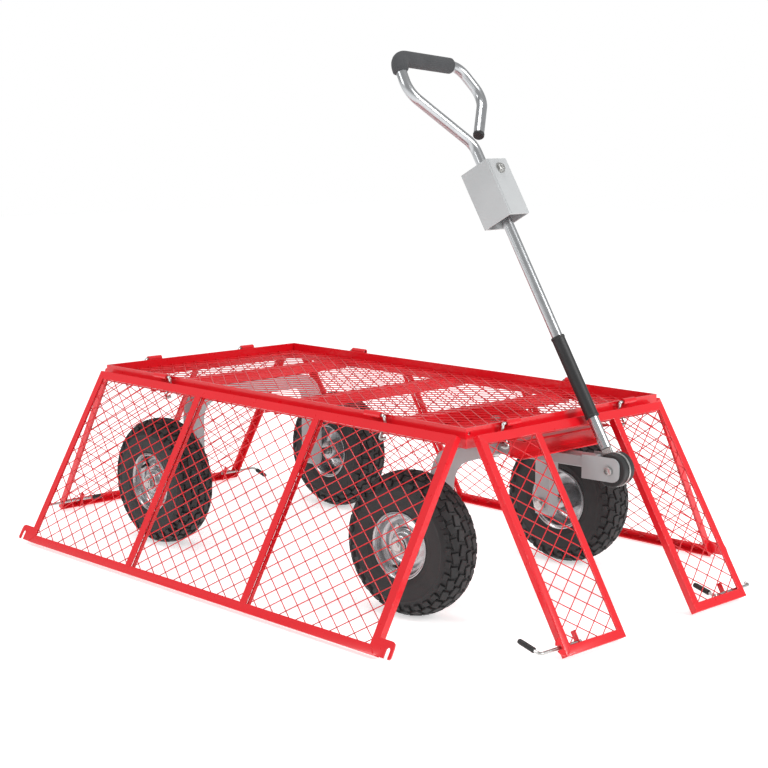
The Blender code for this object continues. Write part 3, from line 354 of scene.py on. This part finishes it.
def hexagon(start, way, radius, height):
    """A hexagonal bolt head or nut with its outer corners taken off."""
    bm = bmesh.new()
    bmesh.ops.create_cone(
        bm, cap_ends=True, segments=6, radius1=radius, radius2=radius, depth=height,
        matrix=Matrix.Translation((0, 0, height / 2)),
    )
    top = [e for e in bm.edges if min(v.co.z for v in e.verts) > height * 0.9]
    bmesh.ops.bevel(
        bm, geom=top, offset=radius * 0.14, segments=2, profile=0.5, affect="EDGES", material=-1
    )
    matrix = Matrix.Translation(start) @ Vector(way).to_track_quat("Z", "Y").to_matrix().to_4x4()
    bmesh.ops.transform(bm, matrix=matrix, verts=bm.verts)
    return bm


def panel_axes(hinge, outward, lean):
    """The panel's own frame: X along the hinge, Y down the panel, Z to its inner side."""
    tilt = math.radians(lean)
    down = outward * math.sin(tilt) - Z_AXIS * math.cos(tilt)
    inner = -outward * math.cos(tilt) - Z_AXIS * math.sin(tilt)
    matrix = Matrix((down.cross(inner), down, inner)).transposed().to_4x4()
    matrix.translation = joints[hinge]["pos_m"]
    return matrix


PANELS = {
    "right": panel_axes("side_panel_right_hinge", -X_AXIS, SIDE_LEAN),
    "left": panel_axes("side_panel_left_hinge", X_AXIS, SIDE_LEAN),
    "front": panel_axes("front_panel_hinge", -Y_AXIS, END_LEAN),
    "rear": panel_axes("rear_panel_hinge", Y_AXIS, END_LEAN),
}
STEER = Matrix.Translation((0, joints["steering_turn"]["pos_m"][1], 0))
STEER = STEER @ Matrix.Rotation(math.radians(STEER_REST), 4, "Z")
CLEVIS = STEER @ Matrix.Translation((0, -BOLT_FWD, BOLT_Z))
HANDLE = CLEVIS @ Matrix.Rotation(math.radians(-HANDLE_LEAN), 4, "X")


# ---------------------------------------------------------------- red frames
soften("deck_rails", "deck_frame", "chassis", RED)
for part in ("front", "middle", "rear"):
    soften("floor_channel_" + part, "deck_beam_" + part, "chassis", RED)
soften("turntable_plate", "steering_plate", "chassis", RED, 0.0009)
soften("side_rails_right", "side_frame_right", "side_panel_right", RED)
soften("side_rails_left", "side_frame_left", "side_panel_left", RED)
soften("front_rails", "front_frame", "front_panel", RED)
soften("rear_rails", "rear_frame", "rear_panel", RED)


# ---------------------------------------------------------------- welded wire mesh
def welded_mesh(u_low, u_high, v_low, v_high, level, diamond, place):
    """Two layers of straight round wires crossing as diamonds, sunk into each other at the welds."""
    bm = bmesh.new()
    step, drop = diamond
    width = u_high - u_low
    # the panel's height, stretched so that the diamonds become squares
    height = (v_high - v_low) * step / drop
    count = int((width + height) / step)
    start = (width + height - count * step) / 2
    for index in range(count + 1):
        offset = start + index * step
        enter = Vector((max(0.0, offset - height), min(offset, height)))
        leave = Vector((min(offset, width), max(0.0, offset - width)))
        if (leave - enter).length < step * 0.3:
            continue
        for mirrored in (False, True):
            ends = []
            for end in (enter, leave):
                u = width - end.x if mirrored else end.x
                lift = WIRE_R * (2.5 if mirrored else 1.0)
                ends.append(Vector((u_low + u, v_low + end.y * drop / step, level + lift)))
            along = ends[1] - ends[0]
            turn = along.to_track_quat("Z", "Y").to_matrix().to_4x4()
            bmesh.ops.create_cone(
                bm, cap_ends=True, segments=8, radius1=WIRE_R, radius2=WIRE_R, depth=along.length,
                matrix=Matrix.Translation((ends[0] + ends[1]) / 2) @ turn,
            )
    bmesh.ops.transform(bm, matrix=place, verts=bm.verts)
    return bm


mesh_top = PANEL_TOP + STEEL + 0.002
side_bottom = SIDE_BOTTOM - STEEL - MESH_CLEAR
end_bottom = END_BOTTOM - STEEL - MESH_CLEAR
side_reach = SIDE_HALF - STEEL - MESH_CLEAR
end_reach = END_HALF - STEEL - MESH_CLEAR
leg_reach = NOTCH_HALF + STEEL + MESH_CLEAR
PANEL_DIAMOND = (DIAMOND_LONG, DIAMOND_SHORT)
for side in ("right", "left"):
    wires = welded_mesh(
        -side_reach, side_reach, mesh_top, side_bottom, MESH_W, PANEL_DIAMOND, PANELS[side]
    )
    node = "side_mesh_" + side
    finish_piece("side_wires_" + side, wires, RED_WIRE, "side_panel_" + side, (node,))
END_FIELDS = (
    ("front_wires_right", "front", -end_reach, -leg_reach, "front_mesh_right"),
    ("front_wires_left", "front", leg_reach, end_reach, "front_mesh_left"),
    ("rear_wires", "rear", -end_reach, end_reach, "rear_mesh"),
)
for name, end, low_u, high_u, node in END_FIELDS:
    wires = welded_mesh(low_u, high_u, mesh_top, end_bottom, MESH_W, PANEL_DIAMOND, PANELS[end])
    finish_piece(name, wires, RED_WIRE, end + "_panel", (node,))
low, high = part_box("deck_mesh")
floor_wires = welded_mesh(
    low.x + 0.001, high.x - 0.001, low.y + 0.001, high.y - 0.001, low.z,
    (DIAMOND_SHORT, DIAMOND_LONG), Matrix(),
)
finish_piece("floor_wires", floor_wires, RED_WIRE, "chassis", ("deck_mesh",))


# ---------------------------------------------------------------- welds
def weld_line(start, end, place, size=0.0017):
    """A low bead of overlapping ripples between two points of a face."""
    bm = bmesh.new()
    start = Vector(start)
    along = Vector(end) - start
    count = max(2, int(along.length / 0.0016))
    for index in range(count + 1):
        point = start + along * (index / count)
        low = Matrix.Diagonal((1.0, 1.0, 0.32, 1.0))
        bmesh.ops.create_icosphere(
            bm, subdivisions=1, radius=size, matrix=place @ Matrix.Translation(point) @ low
        )
    return bm


def corner_welds(half, bottom, place, inner):
    """Beads on the mitres of a panel's corners."""
    beads = []
    for side in (-1, 1):
        for edge, rail in ((PANEL_TOP, RAIL), (bottom, -RAIL)):
            sign = 1 if rail > 0 else -1
            outer = (side * (half - 0.003), edge + sign * 0.003, 0)
            inside = (side * (half - RAIL + 0.002), edge + rail - sign * 0.002, 0)
            beads.append(weld_line(outer, inside, place))
    for u in inner:
        for v in (PANEL_TOP + RAIL, bottom - RAIL):
            beads.append(weld_line((u - RAIL / 2 + 0.002, v, 0), (u + RAIL / 2 - 0.002, v, 0), place))
    return joined(*beads)


for side in ("right", "left"):
    beads = corner_welds(SIDE_HALF, SIDE_BOTTOM, PANELS[side], (-SIDE_MID, SIDE_MID))
    finish_piece("side_welds_" + side, beads, RED, "side_panel_" + side)
beads = corner_welds(END_HALF, END_BOTTOM, PANELS["rear"], (0.0,))
finish_piece("rear_welds", beads, RED, "rear_panel")
leg_inner = NOTCH_HALF + RAIL / 2
beads = corner_welds(END_HALF, END_BOTTOM, PANELS["front"], (-leg_inner, leg_inner))
finish_piece("front_welds", beads, RED, "front_panel")


# ---------------------------------------------------------------- hinge pins and latch levers
def hinge_pin(name, place, u, length, way, body, node):
    """A spring pin through a knuckle, bent down behind the rail and hooked back at its end."""
    leave = u + way * (length / 2 + PIN_OUT)
    points = [
        (u - way * (length / 2 - 0.004), 0, 0), (leave, 0, 0), (leave, 0.011, PIN_W),
        (leave, PIN_LEG, PIN_W), (leave + way * 0.008, 0.034, 0.0164),
    ]
    bm = bar(bend(points, (0.004, 0.004, 0.0032), 6), PIN_R, 16, place, 0.0006)
    finish_piece(name, bm, BRIGHT, body, (node,))


for side in ("right", "left"):
    for letter, u in (("a", -0.313), ("b", 0.313)):
        node = "hinge_pin_" + side + "_" + letter
        hinge_pin("pin_" + side + "_" + letter, PANELS[side], u, 0.040, 1, "side_panel_" + side, node)
for end, reach, way in (("front", 0.160, -1), ("rear", 0.130, 1)):
    for letter, u in (("a", -reach), ("b", reach)):
        node = "hinge_pin_" + end + "_" + letter
        hinge_pin("pin_" + end + "_" + letter, PANELS[end], u, 0.034, way, end + "_panel", node)

GRIP_PROFILE = [(0.0, 0.0031), (0.0, 0.0046), (0.0016, 0.0050), (0.0034, 0.0050), (0.0040, 0.0043)]
for rib in range(8):
    start = 0.0052 + rib * 0.0032
    GRIP_PROFILE += [
        (start, 0.0043), (start + 0.0005, 0.0049), (start + 0.0017, 0.0049), (start + 0.0022, 0.0043),
    ]
GRIP_PROFILE += [(0.0320, 0.0046), (0.0342, 0.0040), (0.0350, 0.0024), (0.0350, 0.0)]


def latch(corner, end, outer, rest):
    """A bent rod lever with a ribbed grip; rest is its crank's direction in degrees."""
    body = "latch_" + corner
    crank = Vector((0, math.cos(math.radians(rest)), math.sin(math.radians(rest))))
    axis = PANELS[end] @ Matrix.Translation((0, LATCH_V, LATCH_W))
    plane = OUTER_CRANK if outer else INNER_CRANK
    tip = Vector((plane, 0, 0)) + crank * CRANK_LENGTH
    if outer:
        path = bend([(-LATCH_INNER_END, 0, 0), (plane, 0, 0), tip], (0.006,))
    else:
        hook = Vector((LATCH_TIP, 0, 0)) + crank * 0.010
        path = bend([hook, (LATCH_TIP, 0, 0), (plane, 0, 0), tip], (0.0045, 0.006))
    bm = bar(path, PIN_R, 16, axis, 0.0006)
    finish_piece("lever_" + corner, bm, BRIGHT, body, ("latch_rod_" + corner,))
    base = axis @ (Vector((plane, 0, 0)) + crank * GRIP_START)
    bm = spin_profile(GRIP_PROFILE, facing(base, axis.to_3x3() @ crank), 24, False)
    finish_piece("lever_grip_" + corner, bm, BLACK, body, ("latch_grip_" + corner,))


latch("front_right", "front", True, CRANK_REST)
latch("front_left", "front", False, CRANK_REST)
latch("rear_left", "rear", True, LOW_CRANK_REST)
latch("rear_right", "rear", False, CRANK_REST)

# ---------------------------------------------------------------- axle arches, bearing and axles
soften("rear_arch", "rear_axle_arch", "chassis", GREY, 0.0012, 0.004)
soften("front_arch", "front_axle_arch", "steering", GREY, 0.0012, 0.004)
low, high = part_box("steering_bearing")
middle = (low + high) / 2
half = (high.z - low.z) / 2
COLLAR = [
    (-half, 0.0063), (-half, 0.0252), (-half + 0.0008, 0.026), (-half + 0.007, 0.026),
    (-half + 0.0078, 0.0238), (half - 0.0078, 0.0238), (half - 0.007, 0.026), (half - 0.0008, 0.026),
    (half, 0.0252), (half, 0.0063),
]
bm = spin_profile(COLLAR, facing(middle, Z_AXIS), 48)
finish_piece("turntable_bearing", bm, BRIGHT, "chassis", ("steering_bearing",))
low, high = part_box("kingpin")
pin_x = (low.x + high.x) / 2
pin_y = (low.y + high.y) / 2
shank = bar([Vector((pin_x, pin_y, low.z)), Vector((pin_x, pin_y, high.z))], 0.006, 24, Matrix(), 0.0008)
top_nut = hexagon((pin_x, pin_y, high.z - 0.0081), Z_AXIS, 0.0105, 0.0077)
low_nut = hexagon((pin_x, pin_y, low.z + 0.0109), -Z_AXIS, 0.0105, 0.0077)
finish_piece("kingpin_bolt", joined(shank, top_nut, low_nut), BRIGHT, "chassis", ("kingpin",))


def stub_axles(end, body, place):
    """A ground bolt through each leg, with its head inside and a washer and nut outside the wheel."""
    for word, side in (("right", -1), ("left", 1)):
        way = place.to_3x3() @ Vector((side, 0, 0))
        ends = [Vector((side * AXLE_INNER, 0, WHEEL_R)), Vector((side * AXLE_OUTER, 0, WHEEL_R))]
        washer = [(0.0, 0.0083), (0.0, 0.0150), (0.0014, 0.0150), (0.0014, 0.0083)]
        parts = [
            bar(ends, AXLE_R, 32, place, 0.0012),
            spin_profile(washer, facing(place @ Vector((side * 0.2815, 0, WHEEL_R)), way), 32),
            hexagon(place @ Vector((side * 0.2830, 0, WHEEL_R)), way, 0.0125, 0.0064),
            hexagon(place @ Vector((side * 0.1496, 0, WHEEL_R)), -way, 0.0125, 0.0074),
        ]
        node = end + "_axle_" + word
        finish_piece(end + "_axle_bolt_" + word, joined(*parts), BRIGHT, body, (node,))


REAR_PLACE = Matrix.Translation((0, joints["wheel_spin_rear_right"]["pos_m"][1], 0))
stub_axles("rear", "chassis", REAR_PLACE)
stub_axles("front", "steering", STEER)

# ---------------------------------------------------------------- wheels
CARCASS = [
    (0.0322, 0.0556), (0.0330, 0.0586), (0.0346, 0.0612), (0.0362, 0.0640), (0.0370, 0.0668),
    (0.0382, 0.0700), (0.0390, 0.0712), (0.0392, 0.0726), (0.0391, 0.0750), (0.0397, 0.0800),
    (0.0401, 0.0860), (0.0400, 0.0920), (0.0396, 0.0968), (0.0402, 0.0980), (0.0400, 0.0994),
    (0.0388, 0.1010), (0.0370, 0.1065), (0.0335, 0.1130), (0.0280, 0.1190), (0.0200, 0.1235),
    (0.0100, 0.1258),
]
CARCASS = CARCASS + [(0.0, 0.1264)] + [(-x, r) for x, r in reversed(CARCASS)]
# dished disc, rolled lip, raised hub boss; outer face first
DISH = [
    (0.0330, 0.0548), (0.0330, 0.0600), (0.0345, 0.0612), (0.0362, 0.0606), (0.0366, 0.0590),
    (0.0352, 0.0574), (0.0300, 0.0560), (0.0230, 0.0545), (0.0180, 0.0520), (0.0155, 0.0490),
    (0.0150, 0.0460), (0.0162, 0.0430), (0.0190, 0.0385), (0.0200, 0.0350), (0.0196, 0.0325),
    (0.0170, 0.0300), (0.0160, 0.0280), (0.0166, 0.0266), (0.0230, 0.0258), (0.0250, 0.0250),
    (0.0258, 0.0235), (0.0258, 0.0215), (0.0272, 0.0203), (0.0340, 0.0196), (0.0350, 0.0186),
    (0.0352, 0.0160), (0.0352, 0.0088), (-0.0340, 0.0088), (-0.0340, 0.0180), (-0.0330, 0.0192),
    (0.0060, 0.0230), (0.0110, 0.0270), (0.0140, 0.0400), (0.0110, 0.0480), (0.0080, 0.0505),
    (-0.0200, 0.0530), (-0.0300, 0.0545), (-0.0345, 0.0570), (-0.0362, 0.0590), (-0.0358, 0.0606),
    (-0.0340, 0.0612), (-0.0330, 0.0600), (-0.0330, 0.0548),
]
TREAD_COUNT = 30
# one pitch of the tread: place across the tyre, radius, tilt, width, length, turn, share of a pitch
TREAD = (
    (0.0000, 0.1268, 0, 0.0138, 0.0212, 12, 0.0),
    (0.0150, 0.1252, 13, 0.0132, 0.0216, -14, 0.5),
    (0.0278, 0.1198, 34, 0.0132, 0.0208, 10, 0.05),
    (0.0362, 0.1110, 60, 0.0105, 0.0130, -4, 0.55),
)


def tread_blocks():
    """Moulded blocks in staggered rows, made for one pitch and carried round the tyre."""
    bm = bmesh.new()
    for across, radius, tilt, width, length, turn, share in TREAD:
        for side in ((1,) if across == 0 else (1, -1)):
            made = bmesh.ops.create_cube(bm, size=1.0)
            verts = made["verts"]
            bmesh.ops.scale(bm, vec=(width, length, 0.0060), verts=verts)
            crown = [v for v in verts if v.co.z > 0]
            bmesh.ops.scale(bm, vec=(0.84, 0.88, 1.0), verts=crown)
            rims = [e for e in bm.edges if e.verts[0] in crown and e.verts[1] in crown]
            rounded = bmesh.ops.bevel(
                bm, geom=rims, offset=0.0007, segments=1, profile=0.5, affect="EDGES", material=-1
            )
            verts = list({v for v in verts if v.is_valid} | set(rounded["verts"]))
            angle = math.tau * (share + (0.25 if side < 0 else 0.0)) / TREAD_COUNT
            matrix = (
                Matrix.Rotation(angle, 4, "X") @ Matrix.Translation((side * across, 0, radius))
                @ Matrix.Rotation(math.radians(side * tilt), 4, "Y")
                @ Matrix.Rotation(math.radians(side * turn), 4, "Z")
            )
            bmesh.ops.transform(bm, matrix=matrix, verts=verts)
    bmesh.ops.spin(
        bm, geom=list(bm.verts) + list(bm.edges) + list(bm.faces), cent=(0, 0, 0), axis=X_AXIS,
        angle=math.tau * (TREAD_COUNT - 1) / TREAD_COUNT, steps=TREAD_COUNT - 1, use_duplicate=True,
    )
    return bm


def wheel(corner, place, side, body, spin):
    """Tyre, pressed rim, hub bolts and valve of one wheel."""
    hub = place @ Matrix.Translation((side * TRACK_HALF, 0, WHEEL_R))
    hub = hub @ Matrix.Rotation(math.radians(spin), 4, "X")
    if side < 0:
        hub = hub @ Matrix.Rotation(math.pi, 4, "Z")
    blocks = tread_blocks()
    bmesh.ops.transform(blocks, matrix=hub, verts=blocks.verts)
    tyre = joined(spin_profile(CARCASS, hub, 96), blocks)
    finish_piece("tyre_tread_" + corner, tyre, TYRE, body, ("tyre_" + corner,), 32)
    rim = spin_profile(DISH, hub, 72)
    finish_piece("rim_dish_" + corner, rim, RIM_STEEL, body, ("rim_" + corner,), 45)
    out = hub.to_3x3() @ X_AXIS
    bolts = []
    for quarter in range(4):
        turn = Matrix.Rotation(math.radians(45 + 90 * quarter), 4, "X")
        bolts.append(hexagon(hub @ turn @ Vector((0.0195, 0, 0.0350)), out, 0.0042, 0.0034))
    finish_piece("hub_bolts_" + corner, joined(*bolts), BRIGHT, body)
    seal = [(0.0345, 0.0089), (0.0345, 0.0150), (0.0358, 0.0146), (0.0358, 0.0089)]
    dust = spin_profile(seal, hub, 40)
    stem = [
        (0.0, 0.0), (0.0, 0.0034), (0.003, 0.0030), (0.012, 0.0024), (0.0122, 0.0028), (0.018, 0.0028),
        (0.0186, 0.0022), (0.0186, 0.0),
    ]
    foot = hub @ Vector((0.016, 0.0, -0.0475))
    lean = hub.to_3x3() @ Vector((0.93, 0.0, 0.36))
    valve = joined(dust, spin_profile(stem, facing(foot, lean), 20, False))
    finish_piece("valve_" + corner, valve, BLACK, body)


wheel("front_right", STEER, -1, "wheel_front_right", 20)
wheel("front_left", STEER, 1, "wheel_front_left", 70)
wheel("rear_right", REAR_PLACE, -1, "wheel_rear_right", 130)
wheel("rear_left", REAR_PLACE, 1, "wheel_rear_left", 200)

# ---------------------------------------------------------------- drawbar and handle
soften("draw_tube", "drawbar", "steering", GREY, 0.0018)
soften("fork_plates", "clevis", "steering", GREY, 0.0006, 0.002, 2)
across = CLEVIS.to_3x3() @ X_AXIS
shank = bar([Vector((-0.026, 0, 0)), Vector((0.026, 0, 0))], 0.0049, 24, CLEVIS, 0.0006)
heads = []
for side in (-1, 1):
    heads.append(hexagon(CLEVIS @ Vector((side * 0.0212, 0, 0)), across * side, 0.0085, 0.0058))
finish_piece("fork_bolt", joined(shank, *heads), BRIGHT, "steering", ("clevis_bolt",))
for side, word in ((-1, "right"), (1, "left")):
    pad = [
        (0.0024, 0.0055), (0.0024, 0.0290), (0.0032, 0.0299), (0.0152, 0.0299), (0.0168, 0.0286),
        (0.0171, 0.0270), (0.0171, 0.0055),
    ]
    bm = spin_profile(pad, facing(CLEVIS.translation, across * side), 64)
    node = "friction_disc_" + word
    finish_piece("friction_pad_" + word, bm, BLACK, "clevis_discs", (node,))
soften("tongue_plate", "handle_tongue", "handle", BRIGHT, 0.0005, 0.002, 2)

LOOP = [
    (0, 0, 0.041), (0, 0, 0.648), (-0.124, 0, 0.757), (-0.116, 0, 0.828),
    (0.058, 0, 0.814), (0.092, 0, 0.748), (0.030, 0, 0.671),
]
LOOP_RADII = (0.035, 0.045, 0.024, 0.040, 0.040)
pull = bar(bend(LOOP, LOOP_RADII, 10), TUBE_R, 32, HANDLE)
finish_piece("pull_tube", pull, TUBE, "handle", ("handle_tube", "grip_loop"))
end = Vector(LOOP[-1])
way = (end - Vector(LOOP[-2])).normalized()
PLUG = [
    (-0.010, 0.0), (-0.010, 0.0088), (0.0002, 0.0088), (0.0002, 0.0107), (0.0040, 0.0105),
    (0.0056, 0.0092), (0.0060, 0.0),
]
plug = spin_profile(PLUG, HANDLE @ facing(end, way), 32, False)
finish_piece("tube_plug", plug, BLACK, "handle", ("loop_end_cap",))
foam_path = bend([(-0.1194, 0, 0.798), (-0.116, 0, 0.828), (0.034, 0, 0.8159)], (0.024,), 14)
foam = bar(foam_path, 0.0148, 40, HANDLE, 0.003)
foam = finish_piece("foam_sleeve", foam, FOAM, "handle", ("foam_grip",), 60)
SLEEVE = [
    (0.0, 0.0102), (0.0, 0.0124), (0.0008, 0.0130), (0.0040, 0.0130), (0.0048, 0.0124),
    (0.0060, 0.0122), (0.1530, 0.0122), (0.1542, 0.0124), (0.1550, 0.0130), (0.1582, 0.0130),
    (0.1590, 0.0124), (0.1590, 0.0102),
]
sleeve = spin_profile(SLEEVE, HANDLE @ facing((0, 0, SLEEVE_START), Z_AXIS), 40)
finish_piece("rubber_sleeve", sleeve, BLACK, "handle", ("handle_sleeve",))
soften("hitch_case", "hitch_box", "handle", SILVER, 0.0012, 0.008)
# the case is folded from one sheet, and two fine raised strips mark where its edge overlaps; they are drawn
# in the darker grey paint as painted shade along that step
seam_shade_strips = bmesh.new()
for seam_x, seam_width in ((-0.0278, 0.0007), (-0.0252, 0.0010)):
    bmesh.ops.create_cube(
        seam_shade_strips, size=1.0,
        matrix=HANDLE @ Matrix.Translation((seam_x, HITCH_FACE, HITCH_MIDDLE))
        @ Matrix.Diagonal((seam_width, 0.0004, 0.109, 1.0)),
    )
finish_piece("hitch_seam_painted_shade", seam_shade_strips, GREY, "handle")
forward = HANDLE.to_3x3() @ -Y_AXIS
bolt = hexagon(HANDLE @ Vector((0, HITCH_FACE - 0.0016, HITCH_BOLT_Z)), forward, 0.0082, 0.0048)
WASHER = [(0.0, 0.0044), (0.0, 0.0105), (0.0014, 0.0105), (0.0014, 0.0044)]
ring = spin_profile(WASHER, HANDLE @ facing((0, HITCH_FACE - 0.0001, HITCH_BOLT_Z), -Y_AXIS), 32)
shaft_ends = [Vector((0, HITCH_FACE - 0.008, HITCH_BOLT_Z)), Vector((0, -0.0112, HITCH_BOLT_Z))]
shaft = bar(shaft_ends, 0.0039, 20, HANDLE, 0.0006)
finish_piece("hitch_case_bolt", joined(bolt, ring, shaft), BRIGHT, "handle", ("hitch_bolt",))

# ---------------------------------------------------------------- floor, light and camera
bm = bmesh.new()
bmesh.ops.create_grid(bm, x_segments=1, y_segments=1, size=12.0)
mesh = bpy.data.meshes.new("studio_floor")
bm.to_mesh(mesh)
bm.free()
floor = bpy.data.objects.new("studio_floor", mesh)
bpy.context.scene.collection.objects.link(floor)
PAPER, paper_shader, paper_place = new_material(
    "white_seamless_paper", **{"Roughness": 0.85, "Emission Color": (1, 1, 1, 1), "Emission Strength": 0.52}
)
soft_cloud = speckle(PAPER, paper_place, 1.2, 2.0)
paper_white = two_tone(PAPER, spread(PAPER, soft_cloud, 0, 1), "#F6F6F6", "#F3F3F3")
feed(PAPER, paper_white, paper_shader, "Base Color")
mesh.materials.append(PAPER)

world = bpy.data.worlds.new("studio")
bpy.context.scene.world = world
world.use_nodes = True
# the room is dimmer than the white backdrop, so that edges and folds keep their shading
ray = add(world, "ShaderNodeLightPath").outputs["Is Camera Ray"]
backdrop = spread(world, ray, 0.58, 1.0, 0.0, 1.0)
world.node_tree.links.new(backdrop, world.node_tree.nodes["Background"].inputs["Strength"])
world.node_tree.nodes["Background"].inputs["Color"].default_value = (1, 1, 1, 1)
# plain sRGB keeps the paper white and the paint's own red
bpy.context.scene.view_settings.view_transform = "Standard"


def softbox(name, place, target, size, power):
    """A rectangular studio light that looks at a point."""
    light = bpy.data.lights.new(name, "AREA")
    light.shape = "RECTANGLE"
    light.size = size[0]
    light.size_y = size[1]
    light.energy = power
    lamp = bpy.data.objects.new(name, light)
    bpy.context.scene.collection.objects.link(lamp)
    lamp.location = place
    lamp.rotation_euler = (Vector(target) - Vector(place)).to_track_quat("-Z", "Y").to_euler()


softbox("left_softbox", (-3.4, 0.6, 1.9), (0, 0, 0.3), (1.2, 1.2), 30)
softbox("top_softbox", (-0.5, 0.3, 3.0), (0, 0, 0.3), (0.7, 2.4), 32)
softbox("front_softbox", (0.9, -3.4, 2.0), (0, 0, 0.4), (1.4, 1.4), 75)

camera_data = bpy.data.cameras.new("camera")
camera_data.lens = 76.7
camera_data.sensor_width = 36.0
camera = bpy.data.objects.new("camera", camera_data)
bpy.context.scene.collection.objects.link(camera)
camera.location = (-2.2294, -2.3718, 0.8476)
camera.rotation_euler = (math.radians(90 - 8.7828), 0, math.radians(-43.8804))
bpy.context.scene.camera = camera
